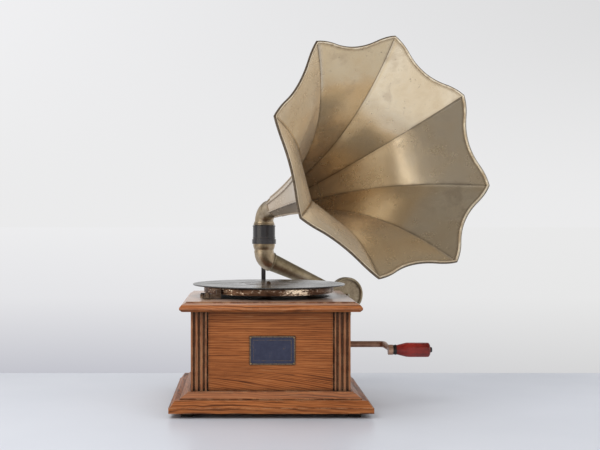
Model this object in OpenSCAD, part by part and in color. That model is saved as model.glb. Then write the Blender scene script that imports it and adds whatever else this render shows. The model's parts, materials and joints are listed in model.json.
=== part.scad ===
/* [Case] */
// Width of the square plinth at its foot
plinth_w = 309.5; // [290:0.5:340]
// Width of the square case body
body_w = 245; // [236:0.5:256]
// Width of the flat on top of the top board
top_flat_w = 259; // [250:0.5:268]
// Height of the feet
foot_h = 7.7; // [5:0.1:12]
// Height of the plinth moulding
plinth_h = 28.9; // [24:0.1:34]
// Height of the panels between plinth and top board
panel_h = 124.1; // [118:0.1:132]
// Thickness of the top board
top_t = 13.7; // [11:0.1:18]
// Thickness of the four panels
panel_t = 8; // [6:0.5:10]
// Width of each fluted corner post
post_w = 26.5; // [24:0.5:32]
// Depth by which the panels stand back from the posts
panel_recess = 3; // [1:0.5:5]
// Width of the nameplate
plate_w = 70; // [50:1:90]
// Height of the nameplate
plate_h = 43.8; // [30:0.2:60]

/* [Turntable] */
// Radius of the record
record_r = 125; // [120:0.5:127]
// Thickness of the record
record_t = 2; // [1.4:0.1:2.6]
// Radius of the turntable
platter_r = 106.5; // [100:0.5:110]
// Height of the turntable rim
platter_h = 10.7; // [8:0.1:13]
// Gap between the top board and the turntable rim
platter_gap = 6.7; // [5:0.1:9]
// Radius of the spindle's record pin
spindle_r = 3.5; // [3.3:0.05:3.6]

/* [Crank] */
// Height of the winding shaft above the floor
crank_z = 94.6; // [90:0.1:100]
// Radius of the winding shaft
crank_r = 5; // [4:0.1:6]
// Reach of the crank arm
crank_arm = 76; // [60:0.5:80]
// Distance of the crank arm from the case centre
crank_x = 190; // [180:0.5:200]
// Length of the crank grip
grip_l = 53; // [44:0.5:62]

/* [Tonearm] */
// Distance of the bracket collar behind the spindle
arm_y = 200; // [196:0.5:206]
// Distance of the bracket collar to the side of the spindle
arm_x = -3.5; // [-6:0.5:6]
// Height of the ball centre in the collar
ball_z = 254.5; // [250:0.1:258]
// Radius of the tonearm ball
ball_r = 20; // [19.6:0.1:20.2]
// Angle at which the parked arm points behind the case
park_deg = 20; // [15:0.5:26]
// Droop of the parked arm
droop_deg = 23.5; // [21:0.5:26]
// Outer radius of the arm's elbow pipe
elbow_r = 17.6; // [16.5:0.1:17.8]
// Length of the tapered arm tube
tube_l = 145.5; // [140:0.5:150]
// Radius of the soundbox
box_r = 32; // [26:0.5:34]

/* [Horn] */
// Angle of the horn from straight ahead
horn_az = 29.1; // [0:0.1:60]
// Rise of the horn's axis
horn_el = 13.3; // [8:0.1:20]
// Roll of the horn's seams about its axis
horn_roll = 30.9; // [0:0.1:45]
// Radius of the horn's rim at the seams
horn_r = 201.6; // [180:0.2:210]
// Radius of the horn's neck at the seams
neck_r = 19.5; // [18.8:0.1:21]
// Length of the horn from neck to mouth
horn_l = 339.9; // [320:0.1:360]
// Sharpness of the horn's flare
flare = 2.5; // [2:0.1:3]
// Depth of each scallop in the rim
scallop = 8.3; // [4:0.1:12]
// Share of each scallop's curve that rounds over towards the seams
rim_round = 0.46; // [0.2:0.02:0.6]
// Thickness of the horn's sheet
sheet_t = 0.9; // [0.7:0.05:1.2]

/* [Hidden] */
$fn = 96;

run = 0.07;
free = 0.3;
seat = 0.02;
lap = 0.4;

post_z0 = foot_h + plinth_h;
top_z0 = post_z0 + panel_h;
top_z = top_z0 + top_t;
body_h2 = body_w / 2;
plinth_h2 = plinth_w / 2;
top_h2 = top_flat_w / 2;
panel_out = body_h2 - panel_recess;
panel_in = panel_out - panel_t;
panel_half = body_h2 - post_w;
quirk_w = 2.2;
top_lip = 1.6;
top_nose = body_h2 + 17.1;
top_bulge = (top_nose + top_h2 + 2.2) / 2 + 0.7;
top_bulge_z = (top_z - 2.4 + top_z0 + 4.6) / 2 + 0.9;
base_in = panel_in;

platter_z0 = top_z + platter_gap;
platter_z = platter_z0 + platter_h;
felt_t = 1;
record_z0 = platter_z + felt_t;
record_z = record_z0 + record_t;
spindle_top = record_z + 3.6;
cone_r = 5;
cone_z = platter_z0 - 2.1;
shaft_r = 4;

plate_t = 4;
motor_z1 = top_z0;
motor_z0 = motor_z1 - plate_t;
base_z1 = crank_z - 14.6;
base_z0 = base_z1 - plate_t;
pillar_r = 4;
bearing_r = 3;

motor_k = panel_in / 111.5;
tooth_play = 0.1;
barrel_x = 58 * motor_k;
barrel_n = 60;
barrel_m = 1.5 * motor_k;
inter_pinion_n = 10;
inter_n = 40;
inter_m = 1.25 * motor_k;
spindle_pinion_n = 10;
gov_n = 50;
gov_m = motor_k;
gov_pinion_n = 10;
d_barrel = barrel_m * (barrel_n + inter_pinion_n) / 2 + tooth_play;
d_spindle = inter_m * (inter_n + spindle_pinion_n) / 2 + tooth_play;
d_gov = gov_m * (gov_n + gov_pinion_n) / 2 + tooth_play;
inter_x = (barrel_x * barrel_x + d_spindle * d_spindle - d_barrel * d_barrel) / (2 * barrel_x);
inter_y = sqrt(d_spindle * d_spindle - inter_x * inter_x);
gov_deg = 200;
gov_x = d_gov * cos(gov_deg);
gov_y = d_gov * sin(gov_deg);
barrel_z0 = crank_z + 17.4;
drum_r = 41.5 * motor_k;
drum_wall = 2;
drum_z0 = barrel_z0 + 4;
drum_z1 = motor_z0 - 14.7;
lid_t = 2;
inter_z0 = motor_z0 - 9.2;
inter_t = 3;
gov_z0 = base_z1 + 16;
gov_t = 3;
barrel_to_inter = atan2(inter_y, inter_x - barrel_x);
inter_to_barrel = barrel_to_inter + 180;
inter_to_spindle = atan2(-inter_y, -inter_x);
spindle_to_inter = inter_to_spindle + 180;

wind_n = 39;
wind_pinion_n = 12;
wind_m = 4 / 3 * motor_k;
wind_r = wind_m * wind_n / 2;
wind_pinion_r = wind_m * wind_pinion_n / 2;
wind_pitch_z = crank_z + wind_pinion_r + tooth_play;
wind_face = 6;
wind_root_z = wind_pitch_z + 1.7;
wind_tip_z = wind_pitch_z - 1.1;
crank_seat_x = barrel_x + wind_r + wind_face / 2 + 4.5;
pedestal_x = crank_seat_x + 2.5;
crank_pin_r = 3;
crank_end_r = crank_r - 1.7;
wind_tooth = wind_root_z - wind_tip_z + 0.2;

gov_disc_r = 16;
gov_disc_z = motor_z0 - 16.7;
gov_low_z = gov_z0 + gov_t + 7;
gov_weight_z = (gov_low_z + gov_disc_z - 4) / 2;

knob_x = 3.5 - panel_in;
knob_y = -18.6;
stem_r = 1.5;
lever_z = gov_disc_z - 0.5;

brake_deg = 220.314;
brake_x = (platter_r + 22.7) * cos(brake_deg);
brake_y = (platter_r + 22.7) * sin(brake_deg);
brake_pin_r = 2.5;
brake_dir = atan2(-brake_y, -brake_x) - 24;
brake_reach = 22;

bracket_z = post_z0 + 59.4;
bow_low_z = bracket_z + 60;
bow_high_z = ball_z - 4.5;
collar_r = 20.4;
lip_r = 22;
collar_z0 = ball_z + 1.5;
collar_z1 = ball_z + 35.5;
lip_z = collar_z0 + 8.5;
ball_bore = 13.6;
ball_top = sqrt(ball_r * ball_r - 14 * 14);
ledge_z = ball_z + 17;
socket_r = 17.3;
spigot_r = socket_r - free;
washer_t = 1.8;
washer_in = 11.5;
spigot_z = ledge_z + 2 * washer_t + 2;
elbow_bore = elbow_r - 1.6;
elbow_rho = elbow_r + 1.4;
elbow_turn = 90 - droop_deg;
elbow_end_u = elbow_rho * (1 - cos(elbow_turn));
elbow_arc_z = ball_z - 13.6;
elbow_end_z = elbow_arc_z - elbow_rho * sin(elbow_turn);
tube_r0 = 16.2;
tube_r1 = 9;
tube_wall = 1.4;
crook_rho = 12;
box_u = elbow_end_u + (tube_l + crook_rho) * cos(droop_deg);
box_z = elbow_end_z - (tube_l + crook_rho) * sin(droop_deg);
shell_y0 = crook_rho + 3;
shell_y1 = shell_y0 + 8.4;
gasket_t = 1.2;
diaphragm_t = 0.6;
ring_y0 = shell_y1 + 2 * gasket_t + diaphragm_t;
ring_t = 3;
ring_y1 = ring_y0 + ring_t;
shell_bore = box_r - 2.5;
block_y = ring_y1 + 4.5;
block_z = -box_r - 1;

horn_pipe_r = 17;
horn_pipe_wall = 1.5;
horn_rho = 24;
horn_arc_z = collar_z1 + 4.6;
horn_turn = 90 - horn_el;
horn_end_y = horn_rho * (1 - cos(horn_turn));
horn_end_z = horn_arc_z + horn_rho * sin(horn_turn);
neck_s = 26;
half_panel = 180 / 8;
rim_w = 4.2;
rim_extra = 1.3;
seam_w = 3.2;
seam_h = 1.9;
flare_steps = 22;
panel_tan = horn_r * sin(half_panel);
scallop_r = (panel_tan * panel_tan + scallop * scallop) / (2 * scallop);
swell_r = scallop_r * rim_round;
dip_r = scallop_r - swell_r;
dip_z = horn_l - scallop + dip_r;
swell_z = horn_l - swell_r;

mouth_s = neck_s + horn_l;
tips = [for (k = [0:7]) let (a = horn_roll + 45 * k)
  [(horn_r + 1) * cos(a), (horn_r + 1) * sin(a) * sin(horn_el) - mouth_s * cos(horn_el) - horn_end_y]];
tips_x = [for (p = tips) arm_x + p[0] * cos(horn_az) - p[1] * sin(horn_az)];
tips_y = [for (p = tips) arm_y + p[0] * sin(horn_az) + p[1] * cos(horn_az)];
bracket_back = arm_y + 66;
mid_x = (max(tips_x) - plinth_h2) / 2;
mid_y = (min(tips_y) + bracket_back) / 2;

function cone_at(z) = spindle_r + (cone_r - spindle_r) * (record_z - z) / (record_z - cone_z);
function horn_at(s) = neck_r + (horn_r - neck_r) * (exp(flare * s / horn_l) - 1) / (exp(flare) - 1);
function flare_s(i, n) = horn_l * pow(i / n, 0.8);
function tooth(n, m, i, k) = m * (n / 2 + k) * [cos(360 / n * i), sin(360 / n * i)];
function gear_points(n, m) = [for (i = [0:n - 1]) each [tooth(n, m, i - 0.29, -1.2),
  tooth(n, m, i - 0.11, 0.85), tooth(n, m, i + 0.11, 0.85), tooth(n, m, i + 0.29, -1.2)]];

module gear(n, m, h) {
  linear_extrude(height = h) polygon(gear_points(n, m));
}

module disc_between(r, z0, z1) {
  translate([0, 0, z0]) cylinder(r = r, h = z1 - z0);
}

module ring_between(r, bore, z0, z1) {
  difference() {
    disc_between(r, z0, z1);
    disc_between(bore, z0 - 1, z1 + 1);
  }
}

module at_corners(x, y) {
  for (sx = [-1, 1]) for (sy = [-1, 1]) translate([sx * x, sy * y, 0]) children();
}

module square_between(half, z0, z1) {
  translate([-half, -half, z0]) cube([2 * half, 2 * half, z1 - z0]);
}

module moulded_square(half_max) {
  intersection() {
    rotate([90, 0, 0]) linear_extrude(height = 2 * half_max, center = true) children();
    rotate([90, 0, 90]) linear_extrude(height = 2 * half_max, center = true) children();
  }
}

module placed() {
  translate([-mid_x, -mid_y, 0]) children();
}

module feet() {
  color([0.08, 0.07, 0.06]) at_corners(plinth_h2 - 27, plinth_h2 - 27)
    translate([-9, -9, 0]) difference() {
      cube([18, 18, foot_h - seat]);
      for (k = [0:3]) translate([9, 9, 0]) rotate([0, 0, 90 * k]) translate([9, 0, -1]) rotate([0, 12, 0])
        translate([0, -20, -5]) cube([10, 40, 12]);
    }
}

module plinth_profile() {
  difference() {
    polygon([[base_in, foot_h], [plinth_h2, foot_h], [plinth_h2, foot_h + 8.5],
      [plinth_h2 - 1.4, foot_h + 8.5], [plinth_h2 - 8.6, foot_h + 18.4], [plinth_h2 - 16.4, foot_h + 18.4],
      [plinth_h2 - 16.4, foot_h + 20], [body_h2 + 4, post_z0 - 0.6], [body_h2 + 4, post_z0],
      [base_in, post_z0]]);
    translate([plinth_h2 - 15.2, post_z0 + 1.2]) circle(r = 8.8);
  }
}

module plinth_mouldings() {
  color([0.52, 0.28, 0.13]) for (k = [0:3]) rotate([0, 0, 90 * k]) intersection() {
    rotate([90, 0, 90]) linear_extrude(height = plinth_w + 2, center = true) plinth_profile();
    translate([0, seat, 0]) linear_extrude(height = post_z0 + 1)
      polygon([[0, 0], [plinth_w, plinth_w], [-plinth_w, plinth_w]]);
  }
}

module bottom_board() {
  color([0.4, 0.24, 0.13]) difference() {
    square_between(base_in - seat, foot_h + 3, foot_h + 11);
    for (k = [-2:2]) translate([-60, k * 14 - 2, 0]) cube([120, 4, foot_h + 20]);
  }
}

module post_flutes() {
  for (k = [0:2]) translate([post_w * (0.187 + 0.285 * k), 0.7, post_z0 - 1])
    cylinder(r = 2.1, h = panel_h + 2, $fn = 32);
  translate([post_w - quirk_w, -1, post_z0 - 1]) cube([quirk_w + 1, panel_recess + 3.4, panel_h + 2]);
}

module corner_posts() {
  color([0.5, 0.27, 0.12]) for (k = [0:3]) rotate([0, 0, 90 * k]) translate([-body_h2, -body_h2, 0])
    difference() {
      translate([0, 0, post_z0 + seat]) cube([post_w, post_w, panel_h - 2 * seat]);
      post_flutes();
      mirror([1, -1, 0]) post_flutes();
    }
}

module wall_panel() {
  translate([-panel_half + seat, panel_in, post_z0 + seat])
    cube([2 * (panel_half - seat), panel_t, panel_h - 2 * seat]);
}

module front_panel() {
  color([0.55, 0.3, 0.14]) rotate([0, 0, 180]) wall_panel();
}

module back_panel() {
  color([0.5, 0.27, 0.12]) difference() {
    wall_panel();
    for (p = bracket_holes()) translate([p[0], panel_in - 1, p[1]]) rotate([-90, 0, 0])
      cylinder(r = 2.1, h = 20);
  }
}

module left_panel() {
  color([0.52, 0.28, 0.13]) rotate([0, 0, 90]) wall_panel();
}

module right_panel() {
  color([0.52, 0.28, 0.13]) difference() {
    rotate([0, 0, -90]) wall_panel();
    translate([panel_in - 1, 0, crank_z]) rotate([0, 90, 0]) cylinder(r = crank_r + 3.2, h = panel_t + 2);
  }
}

module top_profile() {
  polygon([[body_h2 + 13.2, top_z0 - top_lip], [top_nose, top_z0 + 1.8], [top_nose, top_z0 + 4.6],
    [top_bulge, top_bulge_z], [top_h2 + 2.2, top_z - 2.4], [top_h2 + 2.2, top_z - 1.6], [top_h2, top_z - 1.6],
    [top_h2, top_z],
    [-top_h2, top_z], [-top_h2, top_z - 1.6], [-top_h2 - 2.2, top_z - 1.6], [-top_h2 - 2.2, top_z - 2.4],
    [-top_bulge, top_bulge_z], [-top_nose, top_z0 + 4.6], [-top_nose, top_z0 + 1.8],
    [-body_h2 - 13.2, top_z0 - top_lip]]);
}

module top_board() {
  color([0.56, 0.31, 0.15]) difference() {
    moulded_square(body_h2 + 20) top_profile();
    translate([-body_h2 - free, -body_h2 - free, top_z0 - top_lip - 1])
      cube([2 * (body_h2 + free), 2 * (body_h2 + free), top_lip + 1]);
    disc_between(shaft_r + 3, top_z0 - 1, top_z + 1);
    translate([knob_x, knob_y, 0]) disc_between(stem_r + free, top_z0 - 1, top_z + 1);
    for (p = bolt_places()) translate([p[0], p[1], 0]) {
      disc_between(2.2, top_z0 - 1, top_z + 1);
      disc_between(5.2, top_z - 3, top_z + 1);
    }
  }
}

module nameplate() {
  color([0.06, 0.1, 0.25]) at_plate() difference() {
    linear_extrude(height = 1.2) square([plate_w, plate_h], center = true);
    translate([0, 0, 0.8]) linear_extrude(height = 1) square([plate_w - 5, plate_h - 5], center = true);
    for (p = pin_places()) translate([p[0], p[1], -1]) cylinder(r = 1, h = 4, $fn = 32);
  }
}

module at_plate() {
  translate([2.7, -panel_out, post_z0 + 62.2]) rotate([90, 0, 0]) children();
}

function pin_places() = [for (sx = [-1, 1]) for (sy = [-1, 1])
  [sx * (plate_w / 2 - 1.9), sy * (plate_h / 2 - 1.9)]];

module nameplate_pins() {
  color([0.6, 0.5, 0.3]) at_plate() for (p = pin_places())
    translate([p[0], p[1], seat]) {
      cylinder(r = 0.95, h = 1.2, $fn = 32);
      translate([0, 0, 1.2]) intersection() {
        sphere(r = 1.5, $fn = 32);
        cylinder(r = 2, h = 2, $fn = 32);
      }
    }
}

module crank_bush() {
  color([0.62, 0.55, 0.42]) translate([0, 0, crank_z]) rotate([0, 90, 0]) difference() {
    union() {
      disc_between(crank_r + 3, panel_in - 3, panel_out + 4);
      disc_between(crank_r + 10, panel_out, panel_out + 2.2);
    }
    disc_between(crank_r + run, panel_in - 9, panel_out + 9);
    for (k = [0:2]) rotate([0, 0, 120 * k + 30]) translate([crank_r + 6.5, 0, panel_out + 1])
      cylinder(r = 1.6, h = 4);
  }
}

module crank_rod() {
  bend = 9;
  color([0.36, 0.29, 0.22]) translate([0, 0, crank_z]) union() {
    rotate([0, 90, 0]) disc_between(crank_r, crank_seat_x, crank_x - bend);
    rotate([0, 90, 0]) disc_between(crank_r - 1.4, crank_seat_x - 16.5, crank_seat_x + 1.5);
    translate([crank_x - bend, -bend, 0]) rotate_extrude(angle = 90) translate([bend, 0])
      circle(r = crank_r);
    translate([crank_x, -bend, 0]) rotate([90, 0, 0])
      cylinder(r1 = crank_r, r2 = crank_end_r, h = crank_arm - bend - 7);
    difference() {
      union() {
        translate([crank_x - 3.6, -crank_arm, 0]) rotate([0, 90, 0]) cylinder(r = 8, h = 7.2);
        translate([crank_x, -crank_arm + 9, 0]) sphere(r = crank_end_r);
      }
      translate([crank_x - 9, -crank_arm, 0]) rotate([0, 90, 0]) cylinder(r = crank_pin_r + seat, h = 30);
    }
  }
}

module at_grip() {
  translate([crank_x + 3.6, -crank_arm, crank_z]) rotate([0, 90, 0]) children();
}

module crank_ferrule() {
  color([0.07, 0.06, 0.06]) at_grip() difference() {
    translate([0, 0, free]) cylinder(r1 = 7.2, r2 = 8.2, h = 5);
    translate([0, 0, -1]) cylinder(r = crank_pin_r + run, h = 9);
  }
}

module crank_grip() {
  g0 = free + 5 + seat;
  color([0.5, 0.05, 0.06]) at_grip() difference() {
    rotate_extrude() polygon([[0, g0], [7.2, g0], [7.7, g0 + 2], [11.3, g0 + grip_l * 0.31],
      [11.9, g0 + grip_l * 0.38], [11.9, g0 + grip_l - 6], [11.2, g0 + grip_l - 2.2],
      [9.4, g0 + grip_l - 0.5], [8, g0 + grip_l], [0, g0 + grip_l]]);
    for (k = [0:7]) rotate([0, 0, 45 * k]) translate([10.9, -10, g0 + 6]) cube([6, 20, grip_l - 8.2]);
    translate([0, 0, g0 - 1]) cylinder(r = crank_pin_r + run, h = grip_l + 9);
  }
}

module crank_pin() {
  g1 = free + 5 + seat + grip_l;
  color([0.1, 0.09, 0.08]) at_grip() union() {
    translate([0, 0, -7.2]) cylinder(r = crank_pin_r, h = 7.2 + g1 + free);
    translate([0, 0, g1 + free]) cylinder(r1 = 5, r2 = 3.6, h = 3.2);
  }
}

module winding_pinion() {
  color([0.62, 0.5, 0.26]) translate([barrel_x + wind_r - 2, 0, crank_z]) rotate([0, 90, 0])
    difference() {
      rotate([0, 0, 180 + 180 / wind_pinion_n]) gear(wind_pinion_n, wind_m, wind_face);
      disc_between(crank_r - 1.4 + seat, -1, wind_face + 1);
    }
}

function pillar_places() = motor_k * [[-70, 44], [-70, -44], [96, 38], [96, -38]];
function bolt_places() = motor_k * [[-56, 36], [-56, -36], [84, 40], [84, -40]];

module motor_outline(z0, z1) {
  translate([-80 * motor_k, -50 * motor_k, z0]) cube([184 * motor_k, 100 * motor_k, z1 - z0]);
}

module motor_plate() {
  color([0.35, 0.34, 0.32]) difference() {
    motor_outline(motor_z0, motor_z1 - seat);
    disc_between(shaft_r + run, motor_z0 - 1, motor_z1 + 1);
    translate([barrel_x, 0, 0]) disc_between(bearing_r + run, motor_z0 - 1, motor_z1 + 1);
    translate([inter_x, inter_y, 0]) disc_between(bearing_r + run, motor_z0 - 1, motor_z1 + 1);
    translate([gov_x, gov_y, 0]) disc_between(bearing_r - 1 + run, motor_z0 - 1, motor_z1 + 1);
    for (p = bolt_places()) translate([p[0], p[1], 0]) disc_between(2.2, motor_z0 - 1, motor_z1 + 1);
  }
}

module motor_base() {
  color([0.35, 0.34, 0.32]) difference() {
    union() {
      motor_outline(base_z0, base_z1);
      translate([pedestal_x, -9, base_z1 - 1]) cube([5, 18, crank_z + crank_r + 3.4 - base_z1 + 1]);
    }
    translate([pedestal_x - 1, 0, crank_z]) rotate([0, 90, 0]) cylinder(r = crank_r + run, h = 9);
    disc_between(bearing_r + run, base_z0 + 1, base_z1 + 1);
    translate([barrel_x, 0, 0]) disc_between(bearing_r + run, base_z0 - 1, base_z1 + 1);
    translate([inter_x, inter_y, 0]) disc_between(bearing_r + run, base_z0 - 1, base_z1 + 1);
    translate([gov_x, gov_y, 0]) disc_between(bearing_r - 1 + run, base_z0 - 1, base_z1 + 1);
    translate([-40 * motor_k, 26 * motor_k, base_z0 - 1]) cube([40 * motor_k, 14 * motor_k, 9]);
  }
}

module motor_pillars() {
  color([0.5, 0.46, 0.4]) for (p = pillar_places()) translate([p[0], p[1], 0]) union() {
    disc_between(pillar_r, base_z1 + seat, motor_z0 - seat);
    disc_between(pillar_r + 1.5, base_z1 + seat, base_z1 + 4);
    disc_between(pillar_r + 1.5, motor_z0 - 4, motor_z0 - seat);
  }
}

module motor_bolts() {
  color([0.55, 0.5, 0.42]) for (p = bolt_places()) translate([p[0], p[1], 0]) difference() {
    union() {
      disc_between(2.1, motor_z0 - 5, top_z - 2.5);
      disc_between(5, top_z - 3 + seat, top_z - 0.6);
      rotate([0, 0, 15]) translate([0, 0, motor_z0 - 4]) cylinder(r = 4.4, h = 4 - seat, $fn = 6);
    }
    translate([-6, -0.6, top_z - 1.6]) cube([12, 1.2, 3]);
  }
}

module at_barrel() {
  translate([barrel_x, 0, 0]) children();
}

module barrel() {
  color([0.55, 0.44, 0.24]) at_barrel() difference() {
    union() {
      translate([0, 0, barrel_z0]) rotate([0, 0, barrel_to_inter])
        gear(barrel_n, barrel_m, drum_z0 - barrel_z0);
      ring_between(drum_r, drum_r - drum_wall, drum_z0 - 0.5, drum_z1);
      disc_between(8, barrel_z0 - 1.6, barrel_z0 + 1);
    }
    disc_between(5 + run, barrel_z0 - 3, drum_z0 + 3);
  }
}

module barrel_lid() {
  color([0.5, 0.4, 0.22]) at_barrel() difference() {
    disc_between(drum_r, drum_z1 + seat, drum_z1 + lid_t);
    disc_between(5 + run, drum_z1 - 2, drum_z1 + 5);
    for (k = [0:2]) rotate([0, 0, 120 * k]) translate([26 * motor_k, 0, drum_z1 - 1])
      cylinder(r = 4, h = 9, $fn = 32);
  }
}

module barrel_arbor() {
  color([0.5, 0.48, 0.45]) at_barrel() union() {
    disc_between(bearing_r, base_z0 + 0.5, motor_z1 - 0.5);
    disc_between(5, base_z1 + free, motor_z0 - free);
    translate([5.5, 0, drum_z0 + 12]) cube([2, 2.4, 5], center = true);
  }
}

module winding_wheel() {
  color([0.62, 0.5, 0.26]) at_barrel() union() {
    difference() {
      union() {
        disc_between(wind_r + wind_face / 2, wind_root_z, wind_root_z + 3);
        disc_between(9, wind_root_z + 1, wind_root_z + 4.6);
      }
      disc_between(5 + seat, wind_root_z - 1, wind_root_z + 9);
    }
    for (k = [0:wind_n - 1]) rotate([0, 0, 360 / wind_n * k]) translate([wind_r, 0, wind_root_z + 0.2])
      rotate([90, 180, 90]) linear_extrude(height = wind_face, center = true)
        polygon([for (p = [[-1, 0], [1, 0], [0.36, 1], [-0.36, 1]]) [p[0] * motor_k, p[1] * wind_tooth]]);
  }
}

function spring_point(t, off) = (9 + (drum_r - drum_wall - 10.1) * t + off)
  * [cos(360 * 7 * t), sin(360 * 7 * t)];

module mainspring() {
  n = 168;
  outer = [for (i = [0:n]) spring_point(i / n, 0.5)];
  inner = [for (i = [n:-1:0]) spring_point(i / n, -0.5)];
  color([0.25, 0.27, 0.32]) at_barrel() translate([0, 0, drum_z0 + 2])
    linear_extrude(height = drum_z1 - drum_z0 - 4) polygon(concat(outer, inner));
}

module at_inter() {
  translate([inter_x, inter_y, 0]) children();
}

module intermediate_arbor() {
  color([0.5, 0.48, 0.45]) at_inter() union() {
    disc_between(bearing_r, base_z0 + 0.5, motor_z1 - 0.5);
    disc_between(4.4, base_z1 + free, motor_z0 - free);
    translate([0, 0, barrel_z0 - 1]) rotate([0, 0, inter_to_barrel + 180 / inter_pinion_n])
      gear(inter_pinion_n, barrel_m, drum_z0 - barrel_z0 + 2);
  }
}

module intermediate_wheel() {
  color([0.62, 0.5, 0.26]) at_inter() difference() {
    union() {
      translate([0, 0, inter_z0]) rotate([0, 0, inter_to_spindle]) gear(inter_n, inter_m, inter_t);
      disc_between(8, inter_z0 - 1.5, inter_z0 + 1);
    }
    disc_between(4.4 + seat, inter_z0 - 3, inter_z0 + inter_t + 1);
    for (k = [0:4]) rotate([0, 0, 72 * k]) translate([15 * motor_k, 0, inter_z0 - 1])
      cylinder(r = 5 * motor_k, h = 9, $fn = 32);
  }
}

module spindle() {
  color([0.58, 0.55, 0.5]) union() {
    disc_between(bearing_r, base_z0 + 1 + free, base_z1 + 2);
    disc_between(shaft_r, base_z1 + free, top_z + 4);
    translate([0, 0, inter_z0 - 1]) rotate([0, 0, spindle_to_inter + 180 / spindle_pinion_n])
      gear(spindle_pinion_n, inter_m, inter_t + 2);
    disc_between(5.6, top_z + 2, platter_z0 - 2);
    rotate_extrude() polygon([[0, cone_z], [cone_r, cone_z], [spindle_r, record_z],
      [spindle_r, spindle_top - 1.2], [spindle_r - 1.5, spindle_top], [0, spindle_top]]);
  }
}

module spindle_wheel() {
  color([0.62, 0.5, 0.26]) difference() {
    union() {
      translate([0, 0, gov_z0]) rotate([0, 0, gov_deg]) gear(gov_n, gov_m, gov_t);
      disc_between(8, gov_z0 - 2, gov_z0 + 1);
    }
    disc_between(shaft_r + seat, gov_z0 - 3, gov_z0 + gov_t + 1);
    for (k = [0:4]) rotate([0, 0, 72 * k]) translate([15 * motor_k, 0, gov_z0 - 1])
      cylinder(r = 5 * motor_k, h = 9, $fn = 32);
  }
}

module at_gov() {
  translate([gov_x, gov_y, 0]) children();
}

module governor_shaft() {
  color([0.5, 0.48, 0.45]) at_gov() union() {
    disc_between(2, base_z0 + 0.5, motor_z1 - 0.5);
    disc_between(2.6, base_z1 + free, motor_z0 - free);
    translate([0, 0, gov_z0 - 1]) rotate([0, 0, gov_deg + 180 + 180 / gov_pinion_n])
      gear(gov_pinion_n, gov_m, gov_t + 2);
    disc_between(7, gov_low_z, gov_low_z + 3);
  }
}

module governor_weights() {
  color([0.55, 0.44, 0.24]) at_gov() for (k = [0:2]) rotate([0, 0, 120 * k + 40])
    translate([12.2 + seat, 0, gov_weight_z]) rotate([0, 90, 0]) cylinder(r = 6, h = 6.5);
}

module governor_springs() {
  color([0.3, 0.32, 0.36]) at_gov() for (k = [0:2]) rotate([0, 0, 120 * k + 40]) rotate([90, 0, 0])
    linear_extrude(height = 4, center = true)
      polygon([[7 + seat, gov_low_z + 0.2], [7.7, gov_low_z + 0.2], [12.2, gov_weight_z - 7],
        [12.2, gov_weight_z + 7], [7.7, gov_disc_z - 3.2], [7 + seat, gov_disc_z - 3.2],
        [11.5, gov_weight_z + 6.8], [11.5, gov_weight_z - 6.8]]);
}

module governor_disc() {
  color([0.6, 0.52, 0.36]) at_gov() union() {
    ring_between(gov_disc_r, 2.6 + seat, gov_disc_z, gov_disc_z + 2);
    ring_between(7, 2.6 + seat, gov_disc_z - 4, gov_disc_z + 0.5);
  }
}

module at_knob() {
  translate([knob_x, knob_y, 0]) children();
}

module speed_knob() {
  color([0.05, 0.05, 0.05]) at_knob() union() {
    disc_between(stem_r, lever_z - 3, top_z + 2);
    translate([0, 0, top_z + 0.6]) cylinder(r1 = 1.9, r2 = 3.9, h = 4);
    translate([0, 0, top_z + 4.6]) cylinder(r1 = 3.9, r2 = 3.1, h = 1.2);
    disc_between(3.2, top_z + free, top_z + 1);
  }
}

module speed_lever() {
  reach = norm([gov_x - knob_x, gov_y - knob_y]);
  aim = atan2(gov_y - knob_y, gov_x - knob_x) + asin((gov_disc_r + 7.16) / reach);
  color([0.5, 0.46, 0.4]) at_knob() rotate([0, 0, aim]) difference() {
    union() {
      disc_between(3, lever_z, lever_z + 5);
      translate([0, -2, lever_z + 1]) cube([reach - 6, 4, 2.4]);
      translate([reach - 9, -5.2, lever_z - 1]) cube([6, 5.2, 4.4]);
    }
    disc_between(stem_r + seat, lever_z - 2, lever_z + 9);
  }
}

module turntable() {
  color([0.5, 0.36, 0.24]) difference() {
    union() {
      rotate_extrude() polygon([[0, platter_z - 3], [platter_r - 4, platter_z - 3],
        [platter_r - 2.6, platter_z0 + 1.4], [platter_r - 2.6, platter_z0], [platter_r - 0.4, platter_z0],
        [platter_r - 0.4, platter_z0 + 1.6], [platter_r, platter_z0 + 2.4], [platter_r, platter_z - 1.6],
        [platter_r - 1, platter_z - seat], [0, platter_z - seat]]);
      disc_between(13, platter_z0 - 1, platter_z - 2);
    }
    translate([0, 0, cone_z])
      cylinder(r1 = cone_r + run, r2 = cone_at(platter_z) + run, h = platter_z - cone_z);
  }
}

module turntable_felt() {
  color([0.12, 0.22, 0.13]) ring_between(platter_r - 1.5, cone_r, platter_z, record_z0 - seat);
}

module record() {
  color([0.05, 0.05, 0.05]) difference() {
    rotate_extrude() polygon([[0, record_z0], [record_r - 0.6, record_z0], [record_r, record_z0 + 0.6],
      [record_r, record_z - 0.5], [record_r - 0.5, record_z], [50.5, record_z], [50, record_z - 0.3],
      [40, record_z - 0.3], [39.5, record_z], [0, record_z]]);
    disc_between(cone_at(record_z0) + run, record_z0 - 1, record_z + 1);
  }
}

module at_brake() {
  translate([brake_x, brake_y, 0]) children();
}

module brake_plate() {
  color([0.62, 0.58, 0.5]) at_brake() difference() {
    union() {
      rotate([0, 0, brake_dir]) translate([-9, -11.5, top_z + seat]) cube([21, 14.5, 1.6]);
      disc_between(brake_pin_r, top_z + 1, top_z + 9);
      disc_between(brake_pin_r + 2, top_z + 9, top_z + 10.4);
    }
    for (p = brake_screw_places()) rotate([0, 0, brake_dir]) translate([p[0], p[1], top_z - 1])
      cylinder(r = 1.4, h = 9);
  }
}

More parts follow.
